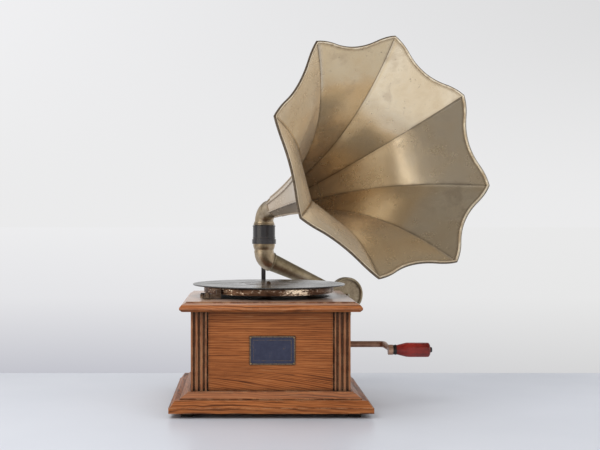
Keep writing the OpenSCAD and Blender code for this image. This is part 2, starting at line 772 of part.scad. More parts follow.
function brake_screw_places() = [[-5.5, -7.5], [4.5, -8.2]];

module brake_screws() {
  color([0.5, 0.46, 0.38]) at_brake() rotate([0, 0, brake_dir]) for (p = brake_screw_places())
    translate([p[0], p[1], top_z + 1.6 + 2 * seat]) difference() {
      union() {
        intersection() {
          translate([0, 0, -1.4]) sphere(r = 2.9, $fn = 32);
          cylinder(r = 4, h = 4, $fn = 32);
        }
        translate([0, 0, -1.58]) cylinder(r = 1.3, h = 2, $fn = 32);
      }
      translate([-4, -0.35, 0.8]) cube([8, 0.7, 4]);
    }
}

module brake_lever() {
  color([0.6, 0.56, 0.48]) at_brake() difference() {
    union() {
      disc_between(5, top_z + 2.2, top_z + 8.4);
      rotate([0, 0, brake_dir]) translate([0, -1.4, top_z + 2.2]) cube([brake_reach, 2.8, 6.2]);
      rotate([0, 0, brake_dir + 192]) translate([0, -1.6, top_z + 2.2]) cube([10, 3.2, 3]);
      rotate([0, 0, brake_dir + 192]) translate([9.5, 0, top_z + 2.2]) cylinder(r = 2.6, h = 6);
      rotate([0, 0, brake_dir]) translate([brake_reach - 7, -1.4, top_z + 2.2]) cube([7, 2.8, 13]);
    }
    disc_between(brake_pin_r + run, top_z, top_z + 20);
  }
}

module brake_pad() {
  color([0.2, 0.13, 0.08]) at_brake() rotate([0, 0, brake_dir])
    translate([brake_reach - 7, 1.4 + seat, top_z + 7]) cube([7, 4.1, 8]);
}

function bracket_holes() = [for (x = [-16, 16]) for (z = [-28, 28]) [arm_x + x, bracket_z + z]];

module bracket_web() {
  translate([arm_x, 0, 0]) rotate([90, 0, 90]) linear_extrude(height = 8, center = true) union() {
    translate([panel_out + 2, bracket_z - 10]) square([arm_y - 4 - panel_out - 2, 20]);
    translate([arm_y - 4, bow_low_z]) intersection() {
      difference() {
        circle(r = 70);
        circle(r = 50);
      }
      translate([0, -80]) square([80, 80]);
    }
    translate([arm_y + 46, bow_low_z - 1]) square([20, bow_high_z - bow_low_z + 2]);
    translate([arm_y + 28, bow_high_z]) intersection() {
      difference() {
        circle(r = 38);
        circle(r = 18);
      }
      square([60, 60]);
    }
    translate([arm_y + 17, bow_high_z + 18]) square([12, 20]);
    translate([panel_out + 2, bracket_z]) {
      polygon([[0, -34], [12, -26], [42, -6], [0, -6]]);
      polygon([[0, 6], [34, 6], [10, 22], [0, 32]]);
    }
  }
}

module bracket() {
  color([0.05, 0.05, 0.06]) difference() {
    union() {
      translate([arm_x - 23, panel_out + seat, bracket_z - 38]) cube([46, 5, 76]);
      bracket_web();
      at_collar() {
        disc_between(collar_r, collar_z0, collar_z1);
        disc_between(lip_r, collar_z0, lip_z);
        disc_between(collar_r + 0.6, collar_z1 - 2.4, collar_z1 - 0.6);
        disc_between(collar_r + 0.5, lip_z + 2, lip_z + 3.6);
      }
    }
    at_collar() {
      translate([0, 0, ball_z]) sphere(r = ball_r + free);
      disc_between(14.3, ball_z, collar_z1 + 1);
      disc_between(socket_r, ledge_z, collar_z1 + 1);
    }
    for (p = bracket_holes()) translate([p[0], panel_out - 1, p[1]]) rotate([-90, 0, 0])
      cylinder(r = 2.1, h = 12);
  }
}

module bracket_screws() {
  color([0.12, 0.11, 0.1]) for (p = bracket_holes()) translate([p[0], panel_out + 5 + 2 * seat, p[1]])
    rotate([-90, 0, 0]) difference() {
      union() {
        intersection() {
          translate([0, 0, -2]) sphere(r = 5, $fn = 48);
          cylinder(r = 6, h = 6);
        }
        translate([0, 0, -14]) cylinder(r = 2, h = 15);
      }
      translate([-6, -0.6, 2]) cube([12, 1.2, 3]);
    }
}

module at_collar() {
  translate([arm_x, arm_y, 0]) children();
}

module packing_washer() {
  color([0.3, 0.2, 0.12]) at_collar()
    ring_between(spigot_r, washer_in, ledge_z + 0.1, ledge_z + 0.1 + washer_t);
}

module thrust_washer() {
  color([0.62, 0.5, 0.28]) at_collar()
    ring_between(spigot_r, washer_in, ledge_z + 0.4 + washer_t, ledge_z + 0.4 + 2 * washer_t);
}

module at_arm() {
  at_collar() rotate([0, 0, park_deg]) children();
}

module at_tube() {
  at_arm() translate([elbow_end_u, 0, elbow_end_z]) rotate([0, droop_deg, 0]) children();
}

module pipe_arc(rho, r, bore, turn) {
  rotate_extrude(angle = turn) translate([rho, 0]) difference() {
    circle(r = r);
    circle(r = bore);
  }
}

module pipe_joint(r, bore) {
  ring_between(r + lap, bore - lap, -2, 2);
}

module tonearm_elbow() {
  color([0.55, 0.48, 0.36]) at_arm() union() {
    difference() {
      intersection() {
        translate([0, 0, ball_z]) sphere(r = ball_r);
        disc_between(ball_r + 1, ball_z - 9, ball_z + ball_top);
      }
      disc_between(ball_bore, ball_z - 20, ball_z + 20);
    }
    ring_between(elbow_r, elbow_bore, elbow_arc_z + 0.5, ball_z - 8);
    translate([0, 0, elbow_arc_z]) pipe_joint(elbow_r, elbow_bore);
    translate([elbow_rho, 0, elbow_arc_z]) rotate([90, 0, 0]) rotate([0, 0, 180])
      pipe_arc(elbow_rho, elbow_r, elbow_bore, elbow_turn);
  }
}

module tonearm_tube() {
  crook = tube_r1 - tube_wall;
  color([0.5, 0.45, 0.36]) at_tube() union() {
    rotate([0, 90, 0]) rotate_extrude() polygon([[tube_r0 - tube_wall, seat], [elbow_r - 0.2, seat],
      [elbow_r + 0.5, 1.2], [elbow_r + 0.5, 2.6], [elbow_r - 0.4, 3.8], [tube_r0, 4.2],
      [tube_r1, tube_l - 2], [tube_r1 + lap, tube_l - 2], [tube_r1 + lap, tube_l + 2],
      [crook - lap, tube_l + 2], [crook - lap, tube_l - 2]]);
    translate([tube_l, -crook_rho, 0]) pipe_arc(crook_rho, tube_r1, crook, 90);
    translate([tube_l + crook_rho, -crook_rho, 0]) rotate([90, 0, 0]) {
      ring_between(tube_r1 + lap, crook - lap, -2, 0.8);
      ring_between(tube_r1, crook, 0.2, 3.2);
    }
  }
}

module at_box() {
  at_arm() translate([box_u, 0, box_z]) rotate([90, 0, 0]) children();
}

module soundbox_shell() {
  color([0.45, 0.41, 0.33]) at_box() difference() {
    union() {
      disc_between(box_r - 1.2, shell_y0 + 0.6, shell_y1 + 1);
      disc_between(box_r, shell_y0 + 1.6, ring_y0 - seat);
      disc_between(tube_r1 + 3.4, shell_y0 - 2, shell_y0 + 2);
      disc_between(box_r - 5, shell_y0 - 0.4, shell_y0 + 2);
    }
    disc_between(tube_r1 + seat, shell_y0 - 4, shell_y0 + 0.22);
    disc_between(tube_r1 - tube_wall, shell_y0 - 4, shell_y0 + 6);
    disc_between(shell_bore - 4, shell_y0 + 2.4, shell_y1 + 9);
    disc_between(shell_bore, shell_y1, shell_y1 + 9);
  }
}

module soundbox_gaskets() {
  color([0.06, 0.06, 0.06]) at_box() union() {
    ring_between(shell_bore - seat, shell_bore - 2, shell_y1 + seat, shell_y1 + gasket_t);
    ring_between(shell_bore - seat, shell_bore - 2, ring_y0 - gasket_t, ring_y0 - seat);
  }
}

module diaphragm() {
  color([0.62, 0.55, 0.42]) at_box()
    disc_between(shell_bore - 0.2, shell_y1 + gasket_t + seat, shell_y1 + gasket_t + diaphragm_t - seat);
}

module soundbox_ring() {
  color([0.5, 0.45, 0.36]) at_box() difference() {
    rotate_extrude() polygon([[shell_bore - 2.2, ring_y0], [box_r, ring_y0], [box_r, ring_y1 - 1.2],
      [box_r - 1.2, ring_y1], [shell_bore - 0.8, ring_y1], [shell_bore - 2.2, ring_y1 - 1.4]]);
    translate([-5, -box_r - 4, ring_y0 - 1]) cube([10, 9, 9]);
  }
}

module stylus_bar() {
  color([0.55, 0.5, 0.42]) at_box() difference() {
    union() {
      disc_between(1.6, shell_y1 + gasket_t + diaphragm_t, block_y + 1);
      translate([0, 0, block_y]) rotate([90, 0, 0]) cylinder(r1 = 1, r2 = 1.7, h = box_r - 2);
      translate([-3.4, block_z - 5, ring_y0 + seat]) cube([6.8, 9, block_y + 3.4 - ring_y0]);
    }
    translate([0, block_z - 1, block_y]) rotate([90, 0, 0]) cylinder(r = 0.95 + seat, h = 9, $fn = 32);
    translate([0, block_z - 2, block_y]) rotate([0, -90, 0]) cylinder(r = 1.2 + run, h = 9, $fn = 32);
  }
}

module needle() {
  color([0.7, 0.7, 0.72]) at_box() translate([0, block_z - 1 - seat, block_y]) rotate([90, 0, 0]) union() {
    cylinder(r = 0.95, h = 5, $fn = 32);
    translate([0, 0, 5]) cylinder(r1 = 0.95, r2 = 0.15, h = 4.5, $fn = 32);
  }
}

module needle_screw() {
  color([0.6, 0.55, 0.42]) at_box() translate([0, block_z - 2, block_y]) rotate([0, -90, 0]) union() {
    translate([0, 0, 0.95 + free]) cylinder(r = 1.2, h = 5, $fn = 32);
    translate([0, 0, 3.4 + free]) cylinder(r = 3.2, h = 4.4, $fn = 12);
    translate([0, 0, 7.8 + free]) cylinder(r1 = 2.6, r2 = 1.6, h = 1, $fn = 32);
  }
}

module at_horn() {
  at_collar() rotate([0, 0, horn_az]) children();
}

module at_neck() {
  at_horn() translate([0, -horn_end_y, horn_end_z]) rotate([horn_turn, 0, 0]) children();
}

module horn_elbow() {
  bore = horn_pipe_r - horn_pipe_wall;
  color([0.6, 0.53, 0.4]) union() {
    at_horn() {
      rotate_extrude() polygon([[bore - lap, spigot_z], [spigot_r, spigot_z], [spigot_r, collar_z1 + free],
        [18.6, collar_z1 + free], [19.7, collar_z1 + 1.4], [19.7, collar_z1 + 2.6], [18.4, collar_z1 + 3.6],
        [18.2, horn_arc_z + 2], [bore - lap, horn_arc_z + 2]]);
      translate([0, -horn_rho, horn_arc_z]) rotate([90, 0, 90])
        pipe_arc(horn_rho, horn_pipe_r, bore, horn_turn);
    }
    at_neck() {
      pipe_joint(horn_pipe_r, bore);
      ring_between(horn_pipe_r, bore, 0.5, neck_s - 0.5);
      ring_between(neck_r - 0.3, bore + 0.5, neck_s - 4, neck_s - seat);
    }
  }
}

module petal_band(over) {
  c = cos(half_panel);
  wide = 2 * horn_r * tan(half_panel);
  outer = [for (i = [0:flare_steps])
    [horn_at(flare_s(i, flare_steps)) * c + over, flare_s(i, flare_steps)]];
  inner = [for (i = [flare_steps:-1:0])
    [horn_at(flare_s(i, flare_steps)) * c - sheet_t - over, flare_s(i, flare_steps)]];
  intersection() {
    rotate([90, 0, 0]) linear_extrude(height = 2 * horn_r, center = true) polygon(concat(outer, inner));
    translate([seat, 0, 0]) linear_extrude(height = horn_l + 5)
      polygon([[0, 0], [2 * horn_r, wide], [2 * horn_r, -wide]]);
    children();
  }
}

module across_panel(t, z, r) {
  translate([0, t, z]) rotate([0, 90, 0]) cylinder(r = r, h = 2 * horn_r, $fn = 200);
}

module scallop_tool(lower) {
  half = panel_tan + 9;
  union() {
    across_panel(0, dip_z, dip_r + lower);
    difference() {
      rotate([90, 0, 90]) linear_extrude(height = 2 * horn_r) polygon([[0, dip_z], [panel_tan, swell_z],
        [half, swell_z], [half, dip_z + 9], [-half, dip_z + 9], [-half, swell_z], [-panel_tan, swell_z]]);
      for (i = [-1, 1]) across_panel(i * panel_tan, swell_z, swell_r - lower);
    }
  }
}

module at_petals() {
  at_neck() translate([0, 0, neck_s]) for (k = [0:7])
    rotate([0, 0, horn_roll + half_panel + 45 * k]) children();
}

module horn_petals() {
  color([0.68, 0.6, 0.46]) at_petals() difference() {
    petal_band(0) translate([0, -horn_r, -1]) cube([2 * horn_r, 2 * horn_r, horn_l + 9]);
    scallop_tool(rim_w);
  }
}

module horn_rim() {
  color([0.7, 0.63, 0.48]) at_petals() petal_band(rim_extra) difference() {
    scallop_tool(rim_w - seat);
    scallop_tool(0);
  }
}

module horn_seams() {
  reach = (horn_l - 6) / horn_l;
  steps = [for (i = [0:flare_steps]) reach * flare_s(i, flare_steps)];
  outer = [for (s = steps) [horn_at(s) + seam_h, s]];
  inner = [for (i = [flare_steps:-1:0]) [horn_at(steps[i]) + 0.12, steps[i]]];
  color([0.66, 0.58, 0.44]) at_neck() translate([0, 0, neck_s]) for (k = [0:7])
    rotate([90, 0, horn_roll + 45 * k]) linear_extrude(height = seam_w, center = true)
      polygon(concat(outer, inner));
}

placed() feet();
placed() plinth_mouldings();
placed() bottom_board();
placed() corner_posts();
placed() front_panel();
placed() back_panel();
placed() left_panel();
placed() right_panel();
placed() top_board();
placed() nameplate();
placed() nameplate_pins();
placed() crank_bush();
placed() crank_rod();
placed() crank_ferrule();
placed() crank_grip();
placed() crank_pin();
placed() winding_pinion();
placed() motor_plate();
placed() motor_base();
placed() motor_pillars();
placed() motor_bolts();
placed() barrel();
placed() barrel_lid();
placed() barrel_arbor();
placed() winding_wheel();
placed() mainspring();
placed() intermediate_arbor();
placed() intermediate_wheel();
placed() spindle();
placed() spindle_wheel();
placed() governor_shaft();
placed() governor_weights();
placed() governor_springs();
placed() governor_disc();
placed() speed_knob();
placed() speed_lever();
placed() turntable();
placed() turntable_felt();
placed() record();
placed() brake_plate();
placed() brake_screws();
placed() brake_lever();
placed() brake_pad();
placed() bracket();
placed() bracket_screws();
placed() thrust_washer();
placed() packing_washer();
placed() tonearm_elbow();
placed() tonearm_tube();
placed() soundbox_shell();
placed() soundbox_ring();
placed() soundbox_gaskets();
placed() diaphragm();
placed() stylus_bar();
placed() needle();
placed() needle_screw();
placed() horn_elbow();
placed() horn_petals();
placed() horn_seams();
placed() horn_rim();
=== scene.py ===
import json
import math

import bpy
import numpy as np
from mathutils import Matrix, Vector


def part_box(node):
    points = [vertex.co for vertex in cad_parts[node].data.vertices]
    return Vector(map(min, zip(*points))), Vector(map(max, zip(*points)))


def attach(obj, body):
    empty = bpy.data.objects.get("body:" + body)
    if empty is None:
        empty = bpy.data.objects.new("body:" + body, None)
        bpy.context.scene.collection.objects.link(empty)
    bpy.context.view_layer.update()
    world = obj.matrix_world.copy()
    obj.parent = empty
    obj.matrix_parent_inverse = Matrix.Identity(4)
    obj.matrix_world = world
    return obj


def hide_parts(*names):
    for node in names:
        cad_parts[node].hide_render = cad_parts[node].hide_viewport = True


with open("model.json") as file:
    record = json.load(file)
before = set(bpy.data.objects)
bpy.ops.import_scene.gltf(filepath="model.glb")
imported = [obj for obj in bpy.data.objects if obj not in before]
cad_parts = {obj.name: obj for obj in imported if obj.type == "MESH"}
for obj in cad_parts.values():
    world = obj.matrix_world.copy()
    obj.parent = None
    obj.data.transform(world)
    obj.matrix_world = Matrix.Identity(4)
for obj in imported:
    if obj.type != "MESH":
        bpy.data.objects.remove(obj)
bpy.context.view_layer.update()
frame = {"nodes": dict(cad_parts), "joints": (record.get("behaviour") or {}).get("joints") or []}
nodes = frame["nodes"]
joint_pos = {j["name"]: Vector(j["pos_m"]) for j in frame["joints"]}
SPINDLE = joint_pos["turntable_spin"]
COLLAR = joint_pos["horn_swivel"]
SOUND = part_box("diaphragm")

# Horn sizes, in metres, as in the part's source: its direction and roll; mouth, neck, length and flare;
# the rim's scallop and rounding, the sheet and the bead; the elbow before the neck
HORN_AZ, HORN_EL, HORN_ROLL = (math.radians(a) for a in (29.1, 13.3, 30.9))
HORN_R, NECK_R, HORN_L, FLARE = 0.2016, 0.0195, 0.3399, 2.5
SCALLOP, RIM_ROUND, SHEET, RIM_R = 0.0083, 0.46, 0.0009, 0.0023
PANELS = 8
STEP = 2 * math.pi / PANELS
HALF = STEP / 2
ELBOW_RHO, ELBOW_Z, NECK_S = 0.024, 0.2946, 0.026
BEAD_BACK = 0.57 * RIM_R
# Rows of the horn's meshes lie a little closer together towards the mouth
CROWD = 0.85
# Given to the strips that don't take the darker band inside the rim
FAR_FROM_RIM = 0.05


# Node graphs

class Graph:
    """One material and short ways to add its nodes."""

    def __init__(self, name, **sockets):
        self.mat = bpy.data.materials.new(name)
        self.mat.use_nodes = True
        self.tree = self.mat.node_tree
        self.tree.nodes.clear()
        self.out = self.add("ShaderNodeOutputMaterial")
        self.bsdf = self.add("ShaderNodeBsdfPrincipled")
        self.tree.links.new(self.bsdf.outputs[0], self.out.inputs[0])
        for key, value in sockets.items():
            self.bsdf.inputs[key.replace("_", " ")].default_value = value

    def add(self, kind, **props):
        n = self.tree.nodes.new(kind)
        for k, v in props.items():
            setattr(n, k, v)
        return n

    def put(self, socket, value):
        if isinstance(value, bpy.types.NodeSocket):
            self.tree.links.new(value, socket)
        elif isinstance(value, (tuple, list)) and socket.type == "RGBA":
            socket.default_value = (*value[:3], 1.0)
        else:
            socket.default_value = value

    def place(self):
        return self.add("ShaderNodeTexCoord").outputs["Object"]

    def mapped(self, vec, scale, move=(0, 0, 0)):
        n = self.add("ShaderNodeMapping")
        self.put(n.inputs["Vector"], vec)
        n.inputs["Location"].default_value = move
        n.inputs["Scale"].default_value = scale
        return n.outputs[0]

    def noise(self, vec, scale, detail=3.0, rough=0.55, bend=0.0):
        n = self.add("ShaderNodeTexNoise")
        self.put(n.inputs["Vector"], vec)
        n.inputs["Scale"].default_value = scale
        n.inputs["Detail"].default_value = detail
        n.inputs["Roughness"].default_value = rough
        n.inputs["Distortion"].default_value = bend
        return n.outputs["Fac"]

    def math(self, op, a, b=0.0, clamp=False):
        n = self.add("ShaderNodeMath", operation=op, use_clamp=clamp)
        for s, v in zip(n.inputs, (a, b)):
            self.put(s, v)
        return n.outputs[0]

    def vec(self, op, a, b=None):
        n = self.add("ShaderNodeVectorMath", operation=op)
        self.put(n.inputs[0], a)
        if b is not None:
            self.put(n.inputs[1], b)
        return n.outputs["Value" if op in ("LENGTH", "DOT_PRODUCT", "DISTANCE") else "Vector"]

    def split(self, vec):
        n = self.add("ShaderNodeSeparateXYZ")
        self.put(n.inputs[0], vec)
        return n.outputs

    def join(self, x, y, z):
        n = self.add("ShaderNodeCombineXYZ")
        for s, v in zip(n.inputs, (x, y, z)):
            self.put(s, v)
        return n.outputs[0]

    def span(self, value, a, b, lo=0.0, hi=1.0, smooth=True):
        n = self.add("ShaderNodeMapRange", clamp=True)
        n.interpolation_type = "SMOOTHSTEP" if smooth else "LINEAR"
        for s, v in zip(n.inputs, (value, a, b, lo, hi)):
            self.put(s, v)
        return n.outputs[0]

    def ramp(self, fac, *stops):
        n = self.add("ShaderNodeValToRGB")
        self.put(n.inputs[0], fac)
        e = n.color_ramp.elements
        while len(e) < len(stops):
            e.new(0.5)
        for i, (at, colour) in enumerate(stops):
            e[i].position = at
            e[i].color = (*colour, 1.0)
        return n.outputs[0]

    def mix(self, fac, a, b, mode="MIX"):
        n = self.add("ShaderNodeMix", data_type="RGBA", blend_type=mode, clamp_factor=True)
        self.put(n.inputs[0], fac)
        self.put(n.inputs[6], a)
        self.put(n.inputs[7], b)
        return n.outputs[2]

    def blend(self, fac, a, b):
        n = self.add("ShaderNodeMix", data_type="FLOAT", clamp_factor=True)
        for s, v in zip((n.inputs[0], n.inputs[2], n.inputs[3]), (fac, a, b)):
            self.put(s, v)
        return n.outputs[0]

    def soft_edge(self, radius):
        n = self.add("ShaderNodeBevel", samples=4)
        n.inputs["Radius"].default_value = radius
        return n.outputs[0]

    def edge_mask(self, radius, gain=9.0):
        """0 on flats and 1 on edges within radius."""
        flat = self.add("ShaderNodeNewGeometry").outputs["Normal"]
        turn = self.math("SUBTRACT", 1.0, self.vec("DOT_PRODUCT", self.soft_edge(radius), flat))
        return self.math("MULTIPLY", turn, gain, clamp=True)

    def hollow(self, reach):
        """0 in the open and 1 in corners and grooves."""
        n = self.add("ShaderNodeAmbientOcclusion", samples=4)
        n.inputs["Distance"].default_value = reach
        return self.math("SUBTRACT", 1.0, n.outputs["AO"])

    def bump(self, height, distance, strength=1.0, normal=None):
        n = self.add("ShaderNodeBump")
        n.inputs["Strength"].default_value = strength
        n.inputs["Distance"].default_value = distance
        self.put(n.inputs["Height"], height)
        if normal is not None:
            self.put(n.inputs["Normal"], normal)
        return n.outputs[0]

    def attribute(self, name):
        return self.add("ShaderNodeAttribute", attribute_name=name).outputs["Fac"]

    def finish(self, colour=None, rough=None, normal=None, metal=None):
        sockets = {"Base Color": colour, "Roughness": rough, "Normal": normal, "Metallic": metal}
        for key, value in sockets.items():
            if value is not None:
                self.put(self.bsdf.inputs[key], value)
        return self.mat


def grain_axes(g, axis, corner):
    """Places along the grain, over the board and up it. The boards of a frame meet in mitres."""
    x, y, z = g.split(g.place())
    if axis != "frame":
        return {"x": (x, y, z), "y": (y, x, z), "z": (z, y, x)}[axis]
    from_x = g.math("ABSOLUTE", g.math("SUBTRACT", x, corner[0]))
    from_y = g.math("ABSOLUTE", g.math("SUBTRACT", y, corner[1]))
    side = g.math("GREATER_THAN", from_x, from_y)
    return g.blend(side, x, y), g.blend(side, y, x), z


def oak_figure(g, along, over, lines, seed, period, wave, arch):
    """Masks of the grain: dark rings, pale rings, fine streaks, pores and flecks."""
    board = g.join(along, over, lines)
    wander = g.noise(g.mapped(board, (arch, 14, 14)), 1.0, 3.0, 0.5)
    depth = g.math("ADD", lines, g.math("MULTIPLY", over, 0.6))
    depth = g.math("ADD", depth, g.math("MULTIPLY", wander, 0.012 * wave))
    rings = g.join(g.math("MULTIPLY", depth, 110.0), g.math("MULTIPLY", along, 5.0), seed)
    drift = g.noise(rings, 1.0, 3.0, 0.6)
    turns = g.math("MULTIPLY", depth, 2 * math.pi / period)
    line = g.math("SINE", g.math("ADD", turns, g.math("MULTIPLY", drift, 16.0)))
    bands = g.join(g.math("MULTIPLY", depth, 210.0), g.math("MULTIPLY", along, 9.0), seed + 3.0)
    force = g.noise(bands, 1.0, 3.0, 0.6)
    dark_ring = g.math("MULTIPLY", g.span(line, 0.1, -0.9), g.span(force, 0.4, 0.64, 0.25, 1.0))
    pale_ring = g.math("MULTIPLY", g.span(line, 0.2, 1.0), g.span(force, 0.6, 0.36, 0.2, 1.0))
    fine = g.noise(g.mapped(board, (16, 760, 760)), 1.0, 3.0, 0.65)
    pore = g.span(g.noise(g.mapped(board, (60, 1300, 1300)), 1.0, 2.0, 0.6), 0.56, 0.68)
    pore = g.math("MULTIPLY", pore, g.span(dark_ring, 0.0, 1.0, 0.3, 1.0))
    fleck = g.span(g.noise(g.mapped(board, (26, 240, 240), (1, 5, 2)), 1.0, 2.0), 0.62, 0.76)
    return dark_ring, pale_ring, fine, pore, fleck


def oak_wear(g, colour):
    """Painted shade with some soiling in the corners and grooves, and edges rubbed pale or nicked dark."""
    # Corners and grooves darkened from ambient occlusion: painted shade, with some soiling
    grime_and_shade = g.span(g.hollow(0.007), 0.1, 0.5)
    colour = g.mix(g.math("MULTIPLY", grime_and_shade, 0.93), colour, (0.018, 0.01, 0.006))
    edge = g.edge_mask(0.0018)
    patch = g.noise(g.mapped(g.place(), (70, 70, 70)), 1.0, 4.0, 0.6)
    worn = g.math("MULTIPLY", edge, g.span(patch, 0.44, 0.6))
    colour = g.mix(g.math("MULTIPLY", worn, 0.6), colour, (0.5, 0.29, 0.155))
    nick = g.math("MULTIPLY", edge, g.span(patch, 0.5, 0.36))
    return g.mix(g.math("MULTIPLY", nick, 0.6), colour, (0.04, 0.016, 0.009))


def oak(name, axis, seed, tint, period, slant, bend=None, wave=1.0, arch=3.2, ink=0.55,
        grey=0.0, corner=None, dust_and_sheen=None, shaded=None, gloss=0.0):
    """Varnished oak with its grain along one axis, or round a frame.

    period: the rings' width. slant leads the grain lines off the axis, and bend (two heights and a slope)
    lets them dive in the lower part. wave and arch: how far and how often they wander.
    ink: how dark they are. grey: how far the wood has faded.
    corner: the middle of the case, about which a frame's boards change direction.
    dusty: two values of an upward normal, an amount and a height above which upward faces are painted pale,
    as dust and a painted sheen.
    shaded: a radius about the corner inside which the board is painted dark, as the shadow under the
    turntable.
    gloss: how far the varnish shines outside that radius.
    """
    g = Graph(name, Coat_Roughness=0.1, Specular_IOR_Level=0.22)
    x, y, z = g.split(g.place())
    along, over, up = grain_axes(g, axis, corner)
    lines = g.math("ADD", up, g.math("MULTIPLY", along, slant))
    if bend:
        low = g.span(up, bend[0], bend[1])
        lines = g.math("ADD", lines, g.math("MULTIPLY", g.math("MULTIPLY", along, low), bend[2]))
        ink = g.span(low, 0.0, 1.0, ink, 0.9)
    along = g.math("ADD", along, seed)
    dark_ring, pale_ring, fine, pore, fleck = oak_figure(g, along, over, lines, seed, period, wave, arch)
    browns = ((0.18, 0.05, 0.012), (0.34, 0.105, 0.027), (0.47, 0.165, 0.05), (0.52, 0.22, 0.08),
              (0.56, 0.29, 0.13))
    dark, middle, light, pale, silver = (tuple(c * tint for c in brown) for brown in browns)
    colour = g.ramp(fine, (0.28, dark), (0.5, middle), (0.72, light))
    colour = g.mix(g.math("MULTIPLY", dark_ring, ink), colour, (0.075, 0.022, 0.007))
    colour = g.mix(g.math("MULTIPLY", pale_ring, 0.38), colour, pale)
    colour = g.mix(g.math("MULTIPLY", pore, 0.7), colour, (0.04, 0.014, 0.006))
    colour = g.mix(g.math("MULTIPLY", fleck, 0.22), colour, silver)
    stain = g.noise(g.mapped(g.place(), (6, 6, 6), (seed, 0, 0)), 1.0, 4.0, 0.6)
    stained = g.mix(1.0, colour, (0.66, 0.58, 0.52), "MULTIPLY")
    colour = g.mix(g.span(stain, 0.42, 0.72, 0.0, 0.6), colour, stained)
    if grey:
        colour = g.mix(g.span(fine, 0.3, 0.7, 0.5 * grey, 1.5 * grey), colour, (0.2, 0.125, 0.085))
    colour = oak_wear(g, colour)
    # Upward faces are painted pale: dust, and a painted sheen of the varnish in the light
    if dust_and_sheen:
        flat = g.span(g.split(g.add("ShaderNodeNewGeometry").outputs["Normal"])[2], dust_and_sheen[0], dust_and_sheen[1])
        flat = g.math("MULTIPLY", flat, g.span(z, dust_and_sheen[3], dust_and_sheen[3] + 0.006))
        colour = g.mix(g.math("MULTIPLY", flat, dust_and_sheen[2]), colour, (0.54, 0.41, 0.33))
    # Painted shadow: under the turntable the board is painted near black
    if shaded:
        off = g.join(g.math("SUBTRACT", x, corner[0]), g.math("SUBTRACT", y, corner[1]), 0.0)
        reach = g.math("ADD", g.vec("LENGTH", off), g.math("MULTIPLY", stain, 0.008))
        open_wood = g.span(reach, shaded - 0.004, shaded + 0.006)
        colour = g.mix(open_wood, (0.02, 0.013, 0.009), colour)
        g.put(g.bsdf.inputs["Coat Weight"], g.math("MULTIPLY", open_wood, gloss))
    rough = g.span(stain, 0.3, 0.8, 0.34, 0.52)
    rough = g.math("ADD", rough, g.math("MULTIPLY", pore, 0.25), clamp=True)
    sunk = g.math("ADD", pore, g.math("MULTIPLY", dark_ring, 0.4))
    height = g.math("SUBTRACT", g.math("MULTIPLY", fine, 0.3), sunk)
    normal = g.bump(height, 0.00022, 0.8, g.soft_edge(0.0008))
    return g.finish(colour, rough, normal)


def aged_metal(name, tones, rough=(0.3, 0.5), spots=0.5, spot_colour=(0.07, 0.05, 0.035), scale=1.0,
               bevel=0.0004, worn=(0.7, 0.62, 0.48), dents=0.0, metal=1.0):
    """Metal gone dull: large clouds, small specks, edges in the worn colour, fine scratches."""
    g = Graph(name, Metallic=metal)
    p = g.place()
    cloud = g.noise(g.mapped(p, (14 * scale,) * 3), 1.0, 5.0, 0.62, 0.4)
    mottle = g.noise(g.mapped(p, (120 * scale,) * 3, (3, 1, 2)), 1.0, 4.0, 0.65)
    tone = g.math("ADD", g.math("MULTIPLY", cloud, 0.65), g.math("MULTIPLY", mottle, 0.35))
    colour = g.ramp(tone, (0.3, tones[0]), (0.5, tones[1]), (0.68, tones[2]))
    speck = g.noise(g.mapped(p, (420 * scale,) * 3, (7, 2, 5)), 1.0, 3.0, 0.7)
    speck = g.math("MULTIPLY", g.span(speck, 0.63, 0.72), g.span(cloud, 0.42, 0.6))
    colour = g.mix(g.math("MULTIPLY", speck, spots), colour, spot_colour)
    edge = g.edge_mask(bevel * 2.2)
    colour = g.mix(g.math("MULTIPLY", edge, 0.55), colour, worn)
    lines = g.noise(g.mapped(p, (900, 900, 900)), 1.0, 2.0, 0.5)
    r = g.span(tone, 0.3, 0.7, rough[1], rough[0])
    r = g.math("ADD", r, g.math("MULTIPLY", speck, 0.2), clamp=True)
    r = g.math("ADD", r, g.math("MULTIPLY", g.math("SUBTRACT", lines, 0.5), 0.12), clamp=True)
    height = g.math("ADD", g.math("MULTIPLY", lines, 0.25), g.math("MULTIPLY", speck, -0.8))
    normal = g.bump(height, 0.00012, 0.5, g.soft_edge(bevel))
    if dents:
        wave = g.noise(g.mapped(p, (26, 26, 26)), 1.0, 2.0)
        normal = g.bump(wave, dents, 0.6, normal)
    return g.finish(colour, r, normal)


def lacquer(name, colour, deep, under, rough=0.25, grain=None, bevel=0.0005, wear=0.6):
    """Gloss paint with brush unevenness, and what is under it showing at worn edges."""
    g = Graph(name, Coat_Weight=0.2, Coat_Roughness=0.12, Specular_IOR_Level=0.35)
    p = g.place()
    cloud = g.noise(g.mapped(p, (30, 30, 30)), 1.0, 4.0, 0.6)
    base = g.mix(g.span(cloud, 0.35, 0.7), deep, colour)
    if grain:
        streak = g.noise(g.mapped(p, grain), 1.0, 3.0, 0.6)
        base = g.mix(g.span(streak, 0.48, 0.75, 0.0, 0.6), base, deep)
    chip = g.noise(g.mapped(p, (190, 190, 190), (1, 4, 2)), 1.0, 4.0, 0.65)
    edge = g.math("MULTIPLY", g.edge_mask(bevel * 2.0), g.span(chip, 0.44, 0.6))
    spot = g.span(chip, 0.7, 0.76)
    mask = g.math("MAXIMUM", edge, g.math("MULTIPLY", spot, 0.6))
    base = g.mix(g.math("MULTIPLY", mask, wear), base, under)
    r = g.span(cloud, 0.3, 0.7, rough, rough + 0.14)
    r = g.math("ADD", r, g.math("MULTIPLY", mask, 0.25), clamp=True)
    height = g.math("SUBTRACT", g.math("MULTIPLY", cloud, 0.4), mask)
    return g.finish(base, r, g.bump(height, 0.00012, 0.6, g.soft_edge(bevel)))


